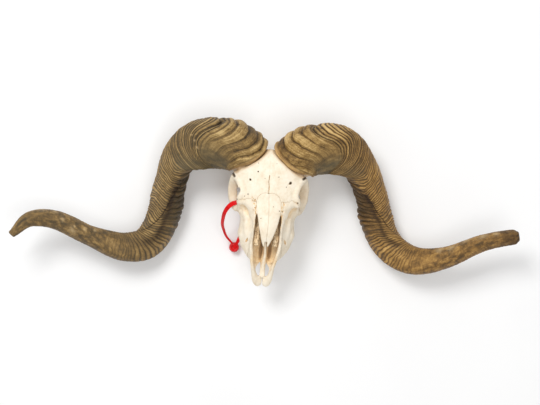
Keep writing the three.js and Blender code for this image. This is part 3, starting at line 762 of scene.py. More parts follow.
def cut_balls(clay, rows, side=1):
    """Cut ellipsoids, each given as its blend, centre, radii and turn."""
    for blend, *numbers in rows:
        clay.cut(side_ball(side, *numbers), blend)


def skull_body(clay):
    """Fill the clay with a loft through the sections, worked out on a coarser grid."""
    step = 2.0
    coarse = [np.arange(lo - 2, hi + 4, step, dtype=np.float32) for lo, hi in zip(LOW, HIGH)]
    tracks = []
    for y, top, roof, cheek, gum, bottom in SKULL_SECTIONS:
        half = [roof, cheek, gum]
        ring = [(0, top), *half, (0, bottom), *[(-x, d) for x, d in reversed(half)]]
        tracks.append([(x, y, d) for x, d in ring])
    tracks = np.array(tracks, float)
    t = np.linspace(0, 1, 400)
    rings = np.stack([curve_at(tracks[:, corner], t) for corner in range(tracks.shape[1])], axis=1)
    ys = rings[:, 0, 1]
    order = np.argsort(ys)
    x, d = coarse[0][:, None], coarse[2][None, :]
    body = np.empty([len(axis) for axis in coarse], np.float32)
    for i, y in enumerate(coarse[1]):
        held = float(np.clip(y, ys.min(), ys.max()))
        corners = np.array([[np.interp(held, ys[order], rings[order, c, k]) for k in (0, 2)]
                            for c in range(rings.shape[1])])
        distance = outline_distance(closed_curve(corners, 48), x, d)
        body[:, i, :] = np.maximum(distance, abs(y - held) - 0.01 if y != held else -50)
    for axis, (fine, rough) in enumerate(zip(clay.axes, coarse)):
        body = resample(body, axis, (fine - rough[0]) / step)
    clay.value = body.astype(np.float32)


def resample(values, axis, places):
    """Cubic interpolation of an array along one axis at fractional places."""
    values = np.moveaxis(values, axis, 0)
    i = np.floor(places).astype(int)
    w = (places - i).astype(np.float32)
    weights = [
        0.5 * (-w + 2 * w**2 - w**3),
        0.5 * (2 - 5 * w**2 + 3 * w**3),
        0.5 * (w + 4 * w**2 - 3 * w**3),
        0.5 * (-(w**2) + w**3),
    ]
    shape = (-1,) + (1,) * (values.ndim - 1)
    out = 0
    for k, weight in enumerate(weights):
        out = out + weight.reshape(shape) * values[np.clip(i + k - 1, 0, len(values) - 1)]
    return np.moveaxis(out, 0, axis)


# Half of each paired feature, on the left side: places are x, y and d, then width and height.
ORBIT_RIM = [
    (57, 69, 17), (51.5, 54, 13), (48.5, 41, 13), (54, 31, 19), (52, 20, 33),
    (58.5, 14, 47), (67, 23, 56), (70, 42, 54), (69, 58, 42), (65, 68, 28),
]
ORBIT_RIM_THICK = 7.2
ORBIT_BAR = [
    ((63, 70, 25), 12, 8), ((64.5, 56, 41), 15, 6), ((64.5, 40, 51), 16, 6.5),
    ((61, 22, 52), 14, 11), ((54, 12, 50), 12, 14),
]
# The orbit on the left side is a little narrower: by how much, and where along it.
NARROWER = (3.2, 26, 20)
ARCH = [((67, 32, 57), 6, 12), ((67, 56, 60), 5.5, 10), ((63, 76, 63), 6, 9), ((49, 92, 68), 12, 12)]
CHEEK_BAR = [((54, 18, 52), 10, 13), ((42.5, 5, 50), 8, 15), ((41, -14, 54), 9, 16), ((42, -34, 55), 13, 16)]
JUGULAR = [((36, 102, 92), 9, 14), ((34.5, 105, 112), 6, 12), ((33, 106, 128), 4, 7)]
PTERYGOID = [((17, 54, 96), 4, 24), ((18, 45, 97), 3.2, 24), ((18, 34, 92), 3.6, 20)]
# Rounded masses of the left half: centre and radii.
ORBIT_FRONT = ((51, 26, 26), (6, 7, 11))
CHEEK = ((41, -33, 54), (9, 13, 11))
HORN_STUMP = ((60, 72, 24), (9, 8, 10))
BASE_SIDE = ((23, 84, 116), (9, 13, 11))
CONDYLE = ((15, 107, 126.6), (10, 13, 15.4))
NOSE_END = ((6, -117, 60), (6, 8, 3.6))
# Hollows: blend, centre, radii and turn. On the middle line these are the way to the spinal cord,
# the hollow under the braincase and the vault of the palate.
MIDDLE_HOLLOWS = [
    (2, (0, 121, 108), (10.5, 14, 9.5)),
    (3, (0, 36, 106), (11, 26, 14), (-12, 0, 0)),
    (5, (0, -14, 86), (20, 52, 11), (-12, 0, 0)),
]
# On each side the orbit, its upper part, the room behind it and the temple.
ORBIT_HOLLOWS = [
    (3, (70, 43, 42), (21, 22, 23)),
    (3, (72, 43, 20), (21, 20, 22)),
    (5, (54, 47, 42), (19, 15, 17)),
    (6, (58, 81, 46), (13, 17, 17)),
]
# On each side the hollow in front of the orbit, the dip of the cheek and the opening for the nerve.
FACE_HOLLOWS = [
    (4, (43, 11.5, 26), (7.5, 12, 9), (0, 0, -30)),
    (8, (36, -20, 22), (9, 20, 7), (10, -40, 0)),
    (1.2, (34.8, -43.6, 32), (1.7, 3.2, 6.5), (35, 0, 20)),
]
# A slit between the right orbit's bar and the forehead, and a dip beside an opening on each side.
ORBIT_SLIT = [
    (0.8, (-57.2, 46.5, 46), (1.5, 5.0, 14), (0, 0, 12)),
    (1.0, (-54.6, 46.5, 12), (2.8, 4.8, 13)),
]
FORAMEN_DIPS = [
    (1.5, (35.5, 61.5, 1), (2.4, 1.4, 3.2), (0, 0, 40)),
    (1.2, (-31.5, 63.0, 0.6), (2.0, 1.0, 2.4), (0, 0, -45)),
]
# The slot between each horn and orbit: centre and turn, and the radii of both.
SLOTS = [((65.6, 76.4, 6), 37), ((-66.2, 75.2, 6), -57)]
SLOT_RADII = (6.0, 2.8, 18)
# Openings and pits: x, y and radius.
FORAMINA = [(38.5, 64.8, 2.4), (-34.3, 66.3, 1.6), (52.5, 29.6, 1.3), (-58, 29.5, 1.0)]
PITS = [
    (-20.9, 81.6, 1.1), (-38, 40, 1.0), (17, 74, 0.6), (31, 57, 0.7), (24, 12, 0.9), (-21, 97, 0.6),
    (19, 13, 0.7), (-14, -2, 0.6), (-44, 36, 0.7), (8, 20, 0.5), (-8, 70, 0.5), (12, 98, 0.5),
]
# The tips of the nasal bones, and the slit between the tips of the nose.
NOSE_TIP = [
    ((7, -32, 4.5), 8, 6), ((5.2, -43, 8.5), 5.6, 5), ((3.9, -49, 11), 3.6, 4),
    ((3.1, -52.6, 12.6), 2.2, 3),
]
TIP_SLIT = [(0.4, -111), (1.3, -117), (1.9, -132), (-1.1, -132), (-0.5, -117)]
NOSE_ROD = [
    ((24.5, -14, 15), 3, 9), ((26.2, -34, 20), 5, 13), ((26.0, -58, 27), 6.2, 14), ((19.4, -88, 42), 6.2, 12),
    ((15.8, -104, 51), 7.6, 10), ((12, -115, 57), 11.6, 9), ((8, -121.5, 61), 12, 7), ((5, -126.5, 63), 6, 4),
]
NOSE_CAVITY = [
    ((0, 6, 29), 34, 40), ((0, -16, 29), 42, 48), ((0, -40, 31), 47, 46),
    ((0, -62, 38), 45, 32), ((0, -90, 44), 31, 20),
]
# Each half of the nasal bones, and of the opening round their tips.
NASAL_SIDE = [
    (22.1, 20), (20.4, 3), (16, -17.5), (10.4, -38), (6, -50.5), (3.6, -52.8), (1.6, -49.6), (0.4, -47),
]
NASAL_HALF = [(-20, 43), (0, 43), (6, 44), (12, 42.8), (18.4, 37.8), (21.8, 29.5), *NASAL_SIDE, (-20, -47)]
NOSE_OPENING = [
    (0, -47), *reversed(NASAL_SIDE[1:]), (22.2, 6), (24, -6), (23.6, -17), (25.6, -27), (25.8, -38),
    (24.3, -54), (20.5, -70), (15, -87), (10, -100), (0, -100),
]
VOMER = [
    ((0, 2, 38), 3, 34), ((0, -44, 43), 4, 26), ((0, -54, 44), 6.2, 22), ((1.6, -69, 47), 6.6, 14),
    ((0.6, -82, 51), 8.6, 10), ((0.9, -97, 56), 6.8, 8), ((0.8, -111, 58.5), 3.6, 7),
    ((0.5, -119, 60.5), 2.4, 6),
]
# The line down the middle of the forehead, which is open in its lower half.
MEDIAN = [(-0.6, 121), (0.4, 104), (-0.6, 92), (0.3, 76), (-0.8, 64), (0.4, 54), (-0.4, 43)]
# Where the bone beside the nasals is pitted and crumbled, and how many pits each stretch has.
CRUMBLED = [
    [(-30, 36), (-26, 30), (-25, 20), (-23, 10), (-23, 2)],
    [(24, 32), (27, 24), (27, 16), (25, 8), (23, -2)],
    [(-24, 10), (-24.4, 2), (-24.2, -8), (-23.4, -18)],
    [(23.8, 6), (23.8, -4), (23.2, -14), (24.6, -24)],
]
CRUMBS = 26
# The plate behind the tips of the nose, and the opening on each side of its middle.
PALATE_END = [(-18, -72), (18, -72), (17, -90), (13, -104), (9, -112), (-9, -112), (-13, -104), (-17, -90)]
FISSURES = [
    [(-5.6, -83), (-10, -88), (-12.9, -93), (-13.2, -98), (-10.6, -106), (-7.2, -112), (-5, -106),
     (-4.4, -92)],
    [(4.6, -84), (8.8, -88), (11.8, -93), (12.2, -98), (10, -106), (6.6, -113), (4.6, -106), (4, -92)],
]
# The first and the last cheek tooth: place and size. The first few have one lobe and the rest two.
TEETH = 6
ONE_LOBED = 3
TOOTH_START = ((26, -54, 70), (9, 11, 18))
TOOTH_END = ((33, 13, 93), (14, 17, 26))


def skull_clay():
    """The whole skull without its turbinates, as one solid."""
    clay = Clay()
    skull_body(clay)
    for side in (1, -1):
        add_side(clay, side)
    cut_hollows(clay)
    clay.join(prism(PALATE_END, 54, 60), 2)
    for outline in FISSURES:
        clay.cut(prism(outline, 30, 80), 1.5)
    for side in (1, -1):
        add_orbit(clay, side)
        clay.join(sweep(mirrored(NOSE_ROD, side)), 2.5)
        clay.join(side_ball(side, *NOSE_END), 3)
    clay.join(sweep(VOMER), 1.5)
    clay.soften()
    clay.cut(prism(TIP_SLIT, 30, 90), 0.6)
    for side in (1, -1):
        clay.join(sweep(mirrored(NOSE_TIP, side), 1), 0.8)
        add_teeth(clay, side)
        cut_balls(clay, FACE_HOLLOWS, side)
    carve_forehead(clay)
    return clay


def add_orbit(clay, side):
    """The raised rim of the orbit, the broad bar outside it and the arch back to the temple."""
    less, middle, length = NARROWER if side > 0 else (0, 0, 1)

    def narrowed(x, y, d):
        return x - less * bump(y, middle, length) * ease(d, 20, 40), y, d

    rim = closed_curve(np.array([narrowed(*p) for p in ORBIT_RIM]) * (side, 1, 1), 44)
    hoop = [(tuple(p), ORBIT_RIM_THICK, ORBIT_RIM_THICK) for p in np.vstack([rim, rim[:2]])]
    bar = [(narrowed(*place), *size) for place, *size in ORBIT_BAR]
    clay.join(sweep(hoop), 4)
    clay.join(sweep(mirrored(bar, side)), 4)
    clay.join(sweep(mirrored(ARCH, side)), 5)


def add_side(clay, side):
    """The cheek, the stump of bone under the horn, the base and the back of the head."""
    clay.join(sweep(mirrored(CHEEK_BAR, side)), 8)
    for mass, blend in ((ORBIT_FRONT, 6), (CHEEK, 6), (HORN_STUMP, 8), (BASE_SIDE, 5)):
        clay.join(side_ball(side, *mass), blend)
    clay.join(sweep(mirrored(JUGULAR, side)), 6)
    clay.join(sweep(mirrored(PTERYGOID, side)), 5)
    clay.join(side_ball(side, *CONDYLE), 4)


def cut_hollows(clay):
    """The inside of the nose with its opening, the palate and the orbits."""
    clay.cut(sweep(NOSE_CAVITY), 3)
    cut_balls(clay, MIDDLE_HOLLOWS)
    for side in (1, -1):
        cut_balls(clay, ORBIT_HOLLOWS, side)
        clay.cut(prism([(side * x, y) for x, y in NOSE_OPENING], -20, 48), 0.6)


def carve_forehead(clay):
    """The slots, openings, pits and crumbled bone of the forehead, which differ from side to side."""
    for place, turn in SLOTS:
        clay.cut(ball(place, SLOT_RADII, (0, 0, turn)), 0.6)
    cut_balls(clay, ORBIT_SLIT)
    for x, y, size in FORAMINA:
        tilt = (0, -25, 40) if x > 0 else (0, 25, -45)
        clay.cut(ball((x, y, 4), (size * 1.2, size * 0.85, 9), tilt), 1.2)
    cut_balls(clay, FORAMEN_DIPS)
    random = np.random.RandomState(5)
    for path in CRUMBLED:
        for x, y in curve_at(path, random.uniform(0, 1, CRUMBS)):
            size = random.uniform(0.5, 1.3)
            x, y = x + random.uniform(-1.8, 1.8), y + random.uniform(-1.2, 1.2)
            clay.cut(ball((x, y, random.uniform(0, 6)), (size, size * 1.4, 2.5)), 0.6)
    for (xa, ya), (xb, yb) in zip(MEDIAN[3:-1], MEDIAN[4:]):
        clay.cut(sweep([((xa, ya, -1.5), 0.9, 4), ((xb, yb, -1.5), 0.9, 4)]), 0.6)
    for x, y, radius in PITS:
        clay.cut(ball((x, y, -1), (radius, radius, 5)), 0.6)


def add_teeth(clay, side):
    """Six cheek teeth, of one or two lobes with crescent ridges on the grinding face."""
    start, end = (np.array([*a, *b], float) for a, b in (TOOTH_START, TOOTH_END))
    for number in range(TEETH):
        x, y, d, wide, long, high = start + (end - start) * number / (TEETH - 1)
        lobes = 1 if number < ONE_LOBED else 2
        for lobe in range(lobes):
            shift = (lobe - (lobes - 1) / 2) * long / lobes * 0.96
            at = (x * side, y + shift, d)
            radii = (wide / 2, long / lobes * 0.56, high / 2 + 3)
            clay.join(crown(at, radii, d + high / 2), 1.2)
            pit = (x * side - 0.5 * side, y + shift, d + high / 2)
            clay.cut(ball(pit, (wide * 0.11, long / lobes * 0.3, 3.2), (0, 0, 14 * side)), 0.8)


def crown(at, radii, floor):
    """One lobe of a tooth: a squarish column with a sloping worn top."""
    low = np.array(at) - radii
    high = np.array(at) + radii
    high[2] = floor + 1.5

    def distance(x, y, d):
        u, v = np.abs(x - at[0]) / radii[0], np.abs(y - at[1]) / radii[1]
        side = ((u**3 + v**3) ** (1 / 3) - 1) * min(radii[:2])
        slant = 1.3 * np.sin((x - at[0]) / radii[0] * 4.2)
        return both(side, d - floor - slant, at[2] - radii[2] - d)

    return low, high, distance


# ---- parting the skull into its bones ----

CHEEK_SEAM = 57  # x of the seam between the middle of the skull and the zygomatic bones
FACE_SEAM = 26  # y of the seam between the cranium and the face
BRAINCASE_TOP = 34
ORBIT_SEAM = 24
PREMAXILLA_BOTTOM = 46
VOMER_BOX = (8, 119, 61)  # the vomer's back end, front end and bottom
VOMER_HALF_WIDTH = 5.2
VOMER_TIP_HALF_WIDTH = 1.9
TIPS_START = -110  # y past which only the tips of the premaxillae are left beside the vomer
TIPS_MEET = -118  # y past which they meet each other
# The stretch of each horn that cuts into the bone, and that of the core inside its root.
CUT_REACH = (0, 110)
CUT_STEP = 5.0
CORE_REACH = (-30, 13)
CORE_STEP = 2.5


def bone_regions(x, y, d):
    """For each bone, a field that is negative where the bone is, before it meets the whole."""
    half = GAP / 2
    across = np.abs(x)
    wave = 1.2 * np.sin(x / 3.1) + 0.8 * np.sin(x / 1.3 + 1)
    cheek_x = CHEEK_SEAM + (1.0 * np.sin(y / 2.7) + 0.6 * np.sin(d / 1.9))
    face_y = FACE_SEAM + wave + 6 * np.exp(-(((across - 40) / 14) ** 2))
    inward = across - cheek_x + half
    behind = face_y + half - y
    before = y - face_y + half
    roof = np.minimum(both(inward, behind, d - BRAINCASE_TOP + half), both(behind, d - ORBIT_SEAM + half))
    base = both(inward, 60 - y, 76 - d)
    cranium = without(both(inward, behind, BRAINCASE_TOP + half - d), base)
    regions = {"frontal": roof, "braincase": cranium, "occipital": base}
    back, front, bottom = VOMER_BOX
    vomer_half = np.where(y < TIPS_START, VOMER_TIP_HALF_WIDTH, VOMER_HALF_WIDTH)
    vomer = both(across - vomer_half, y + back, -front - y, d - bottom)
    for name, side in SIDES.items():
        outline = [(side * px, py) for px, py in NASAL_HALF]
        edge = outline_distance(outline, x[..., 0], y[..., 0])[..., None]
        regions[f"nasal_{name}"] = both(edge - 0.2, d - 16, half - side * x)
    nasals = np.minimum(regions["nasal_left"], regions["nasal_right"])
    for name, side in SIDES.items():
        own = half - side * x
        outer_face = both(cheek_x - across, before, d - ORBIT_SEAM + half, own)
        face = np.minimum(both(own, inward, before), outer_face)
        premaxilla = premaxilla_region(side * x, y, d)
        regions[f"premaxilla_{name}"] = without(premaxilla, nasals, vomer)
        regions[f"maxilla_{name}"] = without(face, premaxilla, nasals, vomer)
        regions[f"zygomatic_{name}"] = both(cheek_x + half - across, own, ORBIT_SEAM + half - d)
    regions["vomer"] = without(vomer, nasals)
    regions["frontal"] = without(roof, nasals)
    return regions


def premaxilla_region(x, y, d):
    """The rod along the edge of the nose and its tip, on the side where x is positive."""
    half = GAP / 2
    own = half - x
    rod_edge = 24.2 + 6.3 * ease(-y, 14, 74) + 0.3 * np.sin(y / 2.2)
    rod = both(np.abs(x) - np.where(y < -79, 99, rod_edge), y + 14, d - PREMAXILLA_BOTTOM)
    beside_vomer, beside_tip = (gap + half - x for gap in (3.4, VOMER_TIP_HALF_WIDTH))
    inner_edge = np.where(y > TIPS_START, beside_vomer, np.where(y > TIPS_MEET, beside_tip, own))
    rod = both(rod, inner_edge)
    return np.minimum(rod, both(own, PREMAXILLA_BOTTOM - d, y + 84))


def surface_of(values):
    """Points and triangles where a field on the clay's grid is zero, in voxels."""
    grid = openvdb.FloatGrid(3.0)
    grid.copyFromArray(np.ascontiguousarray(np.clip(values / VOXEL, -3, 3)))
    points, _, quads = grid.convertToPolygons(isovalue=0.0, adaptivity=0.0)
    return points, halves(quads)


def largest_body(points, triangles):
    """Drop the crumbs: keep the triangles of the largest connected body."""
    label = np.arange(len(points))
    edges = np.concatenate([triangles[:, [0, 1]], triangles[:, [1, 2]]])
    while True:
        low = np.minimum(label[edges[:, 0]], label[edges[:, 1]])
        before = label.copy()
        np.minimum.at(label, edges[:, 0], low)
        np.minimum.at(label, edges[:, 1], low)
        label = label[label]
        if np.array_equal(before, label):
            break
    names, counts = np.unique(label[triangles[:, 0]], return_counts=True)
    kept = triangles[label[triangles[:, 0]] == names[counts.argmax()]]
    used = np.unique(kept)
    renumber = np.zeros(len(points), int)
    renumber[used] = np.arange(len(used))
    return points[used], renumber[kept]


def to_model(points):
    """From the skull's own x, y, d to the model's frame."""
    x = points[:, 0] + lean(points[:, 1], points[:, 2])
    y = points[:, 1]
    cos, sin = math.cos(SKULL_YAW), math.sin(SKULL_YAW)
    placed = np.stack([x * cos - y * sin, x * sin + y * cos, FACE_HEIGHT - points[:, 2]], axis=-1)
    return placed + (SKULL_PIVOT[0] + MODEL_SHIFT[0], SKULL_PIVOT[1] + MODEL_SHIFT[1], 0)


def from_model(points):
    """From the model's frame to the skull's own x, y, d, without its lean."""
    x = points[..., 0] - SKULL_PIVOT[0] - MODEL_SHIFT[0]
    y = points[..., 1] - SKULL_PIVOT[1] - MODEL_SHIFT[1]
    cos, sin = math.cos(SKULL_YAW), math.sin(SKULL_YAW)
    d = FACE_HEIGHT - points[..., 2]
    local_x, local_y = x * cos + y * sin, -x * sin + y * cos
    return np.stack([local_x - lean(local_y, d), local_y, d], axis=-1)


def box_blur(values, radius):
    """Average over a cube of this half width in voxels."""
    for axis in range(3):
        total = np.cumsum(values, axis=axis, dtype=np.float64)
        ahead = np.roll(total, -radius, axis)
        behind = np.roll(total, radius + 1, axis)
        values = ((ahead - behind) / (2 * radius + 1)).astype(np.float32)
    return values


def sample(values, places):
    """Values of a grid at fractional places."""
    low = np.clip(np.floor(places).astype(int), 0, np.array(values.shape) - 2)
    return mix_corners(values, low.T, (places - low).T)


def cut_for_horns(clay, shapes):
    """Take away the bone where the horns are, ahead of the edge of each sheath."""
    for shape, marks in shapes:
        for along in np.arange(*CUT_REACH, CUT_STEP):
            slices, s, side, degrees = horn_slice(clay, shape, along, 16)
            medial = ease(degrees, 70, 120) * (1 - ease(degrees, 215, 250))
            edge = sheath_edge(marks, degrees, 0) if along == 0 else 0
            inside = both(side - 1 - 13 * medial, edge - 0.4 - s, s - 9)
            clay.value[slices] = np.maximum(clay.value[slices], -inside)
            clay.touch[slices] = np.maximum(clay.touch[slices], np.exp(-((inside / 2.6) ** 2)))


def add_pedicles(clay, shapes):
    """The bony core that carries each horn: it runs a little way into the hollow sheath."""
    for shape, _ in shapes:
        for along in np.arange(*CORE_REACH, CORE_STEP):
            share = 0.90 + np.minimum(along + 3, 0) * 0.009
            slices, s, side, _ = horn_slice(clay, shape, along, 8, share)
            slab = np.maximum(side, np.abs(s) - 3)
            clay.value[slices] = smooth_min(clay.value[slices], slab, 1.5)


def horn_slice(clay, shape, along, margin, share=1.0):
    """The clay round one place on a horn, and how far along, outside and round the horn it is."""
    frame = [part[0] for part in shape.frame(np.array([along]))]
    frame[4] = frame[4] * (share, share, 1)
    centre = from_model(frame[0][None])[0]
    reach = frame[4][0] / 2 + margin
    slices, place = clay.window(centre - reach, centre + reach, 0)
    return slices, *horn_space(frame, shape.front, *place)


def horn_space(frame, front, x, y, d):
    """How far along, outside and round a slice of a horn each place of the clay is."""
    centre, tangent, inner, across, sizes = frame
    cos, sin = math.cos(SKULL_YAW), math.sin(SKULL_YAW)
    x = x + lean(y, d)
    shifted = (
        x * cos - y * sin + SKULL_PIVOT[0] + MODEL_SHIFT[0] - centre[0],
        x * sin + y * cos + SKULL_PIVOT[1] + MODEL_SHIFT[1] - centre[1],
        FACE_HEIGHT - d - centre[2],
    )
    s, u, v = (sum(axis[k] * shifted[k] for k in range(3)) for axis in (tangent, inner, across))
    cosine = np.cos(np.arctan2(v / (sizes[1] / 2), u / (sizes[0] / 2)))
    near = np.sqrt((u / (sizes[0] / 2)) ** 2 + (v / (sizes[1] / 2 * (1 - HORN_EGG * cosine))) ** 2)
    degrees = np.degrees(np.arctan2(v * front, u))
    degrees = np.where(degrees < -90, degrees + 360, degrees)
    return s, (near - 1) * min(sizes[:2]) / 2, degrees


# Sutures that are drawn on the bone where no gap shows: x and y in the skull's frame, with its lean.
SUTURES = [
    [(-24, 32), (-30, 27), (-33, 20), (-30, 8), (-27, -4), (-24, -20)],
    [(28, 28), (34, 22), (36, 12), (33, 2), (31, -12), (30, -24)],
    [(-40, 4), (-47, -2), (-50, -12)],
    [(41, 2), (48, -4), (51, -14)],
]
NO_SUTURE = 9.0
# Rusty stains: x, y, d and radius.
ORANGE_STAINS = [
    (-44, 9, 22, 3), (26.6, 5, 8, 2.6), (-43, -8, 24, 3), (53, 29.5, 18, 2.6), (-27, 29, 4, 2.4),
    (-24, 12, 6, 2.0), (28, 20, 4, 1.8), (25, -2, 10, 1.8),
]
# Half widths, in voxels, of the cubes that measure how hidden a place is.
SHADE_RADII = (3, 11)


def path_distance(path, x, y):
    """Distance in a plane from an open path."""
    nearest = np.full(x.shape, 1e9)
    for (ax, ay), (bx, by) in zip(path[:-1], path[1:]):
        ex, ey = bx - ax, by - ay
        share = np.clip(((x - ax) * ex + (y - ay) * ey) / (ex * ex + ey * ey), 0, 1)
        nearest = np.minimum(nearest, np.hypot(x - ax - ex * share, y - ay - ey * share))
    return nearest


def middle_strip(local):
    """The upper edge of the strip down the middle of the nose, which stays pale."""
    x, y, d = local.T
    return bump(x - 0.8, 0, 3.2) * ease(-y, 38, 46) * (1 - ease(d, 54, 58))


def nose_stain(local):
    """Tan inside the nose, and brown beside the strip down its middle."""
    x, y, d = local.T
    length = ease(y, -100, -76) * (1 - ease(y, 2, 12))
    inner = ease(25 - np.abs(x), -0.5, 2.5) * length * ease(d, 16, 34) * (1 - ease(d, 58, 62))
    brown = bump(np.abs(x - 1), 8, 3.6) * bump(y, -62, 17) * ease(d, 30, 44) * (1 - ease(d, 58, 62))
    crumbs = bump(np.abs(x), 23.4, 1.5) * ease(y, -26, -12) * (1 - ease(y, 14, 30)) * (1 - ease(d, 30, 40))
    crumbs = crumbs * ease(noise(x / 2.2, y / 2.2, d / 2.2, 27), -0.4, 0.3)
    return np.maximum((0.55 * inner + 0.6 * brown) * (1 - middle_strip(local)), 0.85 * crumbs)


INFRAORBITAL = [(34.8, -43.6, 1.6), (-34.8, -43.6, 2.0)]
# Spots along each slot beside a horn, where the slot's inside gets painted shade.
SLOT_PITS = [
    (place[0] + step * math.cos(math.radians(turn)), place[1] + step * math.sin(math.radians(turn)), 2.5)
    for place, turn in SLOTS
    for step in (-5, -2.5, 0, 2.5, 5)
]


def pit_darkness(local):
    """Dark in the openings and pits of the forehead and face: painted shade in the openings, the slots beside
    the horns and the slit by the right orbit, and brown in the small pits.
    """
    x, y, d = local.T
    dark = np.zeros(len(local))
    for px, py, size in [*FORAMINA, *PITS, *INFRAORBITAL, *SLOT_PITS]:
        near = np.hypot(x - px, y - py) / (size * 0.9 + 0.3)
        dark = np.maximum(dark, np.exp(-(near**4)) * ease(34 - d, 0, 4))
    # Painted shade in the slit between the right orbit's bar and the forehead.
    slit = np.hypot((x + 55.6) / 2.2, (y - 46.5) / 5)
    return np.maximum(dark, 0.85 * np.exp(-(slit**4)) * ease(d, 14, 18))


def orange_stain(local, seen):
    """Rusty spots, and a tint on the bar outside each orbit."""
    x, y, d = seen.T
    spots = [
        np.exp(-(((x - px) ** 2 + (y - py) ** 2) / size**2) - ((d - pd) / 14) ** 2)
        for px, py, pd, size in ORANGE_STAINS
    ]
    bar = bump(np.abs(local[:, 0]), 66, 10) * bump(local[:, 1], 41, 20) * ease(local[:, 2], 18, 30)
    return np.maximum(np.max(spots, axis=0), 0.5 * bar)


def suture_distance(seen):
    """How far each place is from a drawn suture, which wanders a little."""
    x, y, d = seen.T
    drift = 0.9 * noise(x / 2.4, y / 2.4, d / 2.4, 21)
    drawn = np.min([path_distance(path, x, y) for path in SUTURES], axis=0)
    median = path_distance(MEDIAN, x + drift, y) + 0.12 - 1.0 * bump(y, 52, 12)
    return np.where(d < 34, np.minimum(drawn + np.abs(drift) + 0.35, median), NO_SUTURE)


def roughen(clay):
    """Small unevenness, so that no bone is perfectly smooth."""
    near = np.nonzero(np.abs(clay.value) < 3)
    x, y, d = (axis[index] for axis, index in zip(clay.axes, near))
    broad = noise(x / 11, y / 11, d / 11, 3)
    fine = noise(x / 3.2, y / 3.2, d / 3.2, 8)
    clay.value[near] += 0.25 * broad + 0.12 * fine


def skull_pieces(shapes, material):
    """One piece for each bone of the skull, cut from the one solid."""
    clay = skull_clay()
    cut_for_horns(clay, shapes)
    add_pedicles(clay, shapes)
    roughen(clay)
    inside = (clay.value < 0).astype(np.float32)
    near, far = (box_blur(inside, radius) for radius in SHADE_RADII)
    _, place = clay.window(LOW, HIGH, 0)
    for name, region in bone_regions(*place).items():
        voxels, triangles = largest_body(*surface_of(np.maximum(clay.value, region)))
        local = voxels * VOXEL + LOW
        seen = local.copy()
        seen[:, 0] += lean(local[:, 1], local[:, 2])
        open_to_light = 1 - middle_strip(local)
        piece = mesh_object(f"bone_{name}", to_model(local), [triangles], material)
        add_attributes(piece, {
            "place": seen,
            "cavity": sample(near, voxels) * open_to_light,
            "hollow": sample(far, voxels) * open_to_light,
            "suture": suture_distance(seen),
            "orange": orange_stain(local, seen),
            "stain": nose_stain(local),
            "pit": pit_darkness(local),
            "touch": sample(clay.touch, voxels),
        })
        yield name, piece


# ---- the scrolls inside the nose ----

SCROLL_PATH = [
    ((14, -4, 36), 10, 16), ((16.4, -24, 31), 15, 22), ((16.4, -42, 25), 14.5, 20), ((15.6, -52, 22), 10, 13),
]
SCROLL_TURNS = 1.6
SCROLL_THICK = 0.9
SCROLL_ROWS = 90
SCROLL_COLUMNS = 120


def turbinate_piece(name, side, material):
    """A thin sheet of bone that is rolled up like a scroll."""
    t = np.linspace(0, 1, SCROLL_ROWS)
    turn = np.linspace(0, 1, SCROLL_COLUMNS)
    places, sizes = along_stations(SCROLL_PATH, t)
    angle = math.tau * SCROLL_TURNS * turn - 2.0
    crumple = 0.22 * noise(t[:, None] * 5, 11 * turn[None, :], 0.5, 31 + side)
    crumple = crumple + 0.12 * noise(t[:, None] * 9, 30 * turn[None, :], 0.5, 35 + side)
    radius = np.maximum((1 - 0.72 * turn[None, :] + crumple) * 0.5, 0.05)
    ragged = 1.6 * noise(turn * 7, t[-1] * 3, 0.2, 41 + side) * ease(t[:, None], 0.8, 1)

    def sheet(inset):
        x = (sizes[:, :1] * radius - inset) * np.cos(angle)
        d = (sizes[:, 1:] * radius - inset) * np.sin(angle)
        return np.stack([side * (places[:, :1] + x), places[:, 1:2] + ragged, places[:, 2:] + d], axis=-1)

    local = np.concatenate([sheet(0), sheet(SCROLL_THICK)[:, ::-1]], axis=1).reshape(-1, 3)
    total = 2 * SCROLL_COLUMNS
    i = np.arange(SCROLL_COLUMNS - 1)
    cap = np.stack([i, i + 1, total - 2 - i, total - 1 - i], axis=-1)
    faces = [grid_faces(SCROLL_ROWS, total), cap[:, ::-1], cap + (SCROLL_ROWS - 1) * total]
    piece = mesh_object(name, to_model(local), faces, material)
    add_attributes(piece, {
        "place": local,
        "cavity": np.full(len(local), 0.62),
        "hollow": np.full(len(local), 0.66),
        "suture": np.full(len(local), NO_SUTURE),
        "orange": 0.5 * bump(local[:, 1], -30, 26),
        "stain": np.full(len(local), 0.42),
    })
    return piece


# ---- the seal ----

# The strap's route: place, width across the face and thickness, in the model's frame before its shift.
STRAP = [
    ((-63, -79, 17), 3.8, 2.6), ((-73.4, -66.2, 27), 4.2, 2.6), ((-78, -53.6, 40), 5.0, 2.6),
    ((-79.9, -42, 58), 5.8, 2.6), ((-78, -30.3, 74), 6.6, 2.6), ((-74.2, -19.3, 87), 7.4, 2.6),
    ((-67.3, -9.6, 96), 8, 2.6), ((-59.2, -3.6, 101), 8.2, 2.6), ((-49.5, -1, 100), 8, 2.6),
    ((-43.6, 1.5, 84), 7.5, 2.6), ((-42, -4, 58), 7, 2.6), ((-43, -28, 36), 6, 2.6),
    ((-46, -56, 25), 5, 2.6), ((-53, -76, 19), 5, 3),
]
LOCK_TAB = [
    ((-59, -86, 12), 9, 9), ((-55, -80, 16), 6.5, 8), ((-50, -73, 20), 5.5, 7), ((-47, -69, 21), 5, 6),
]
BAND_COLUMNS = 24
BAND_CORNER = 0.45  # how square the band's section is: 1 is an oval, 0 a rectangle
LOCK_AT = (-59.5, -87, 10.3)
# The lock's outline from its underside to the bottom of its recess: radius and height.
LOCK_PROFILE = [
    (0, -9.2), (5.4, -9.2), (8.6, -6), (9.8, -1.5), (9.8, 1.5), (8.8, 5.6), (6.9, 8.4), (5.5, 8.6),
    (4.9, 7.2), (4.7, 4.4), (2.2, 4.0), (1.9, 5.6), (0, 5.8),
]
LOCK_SIDES = 12


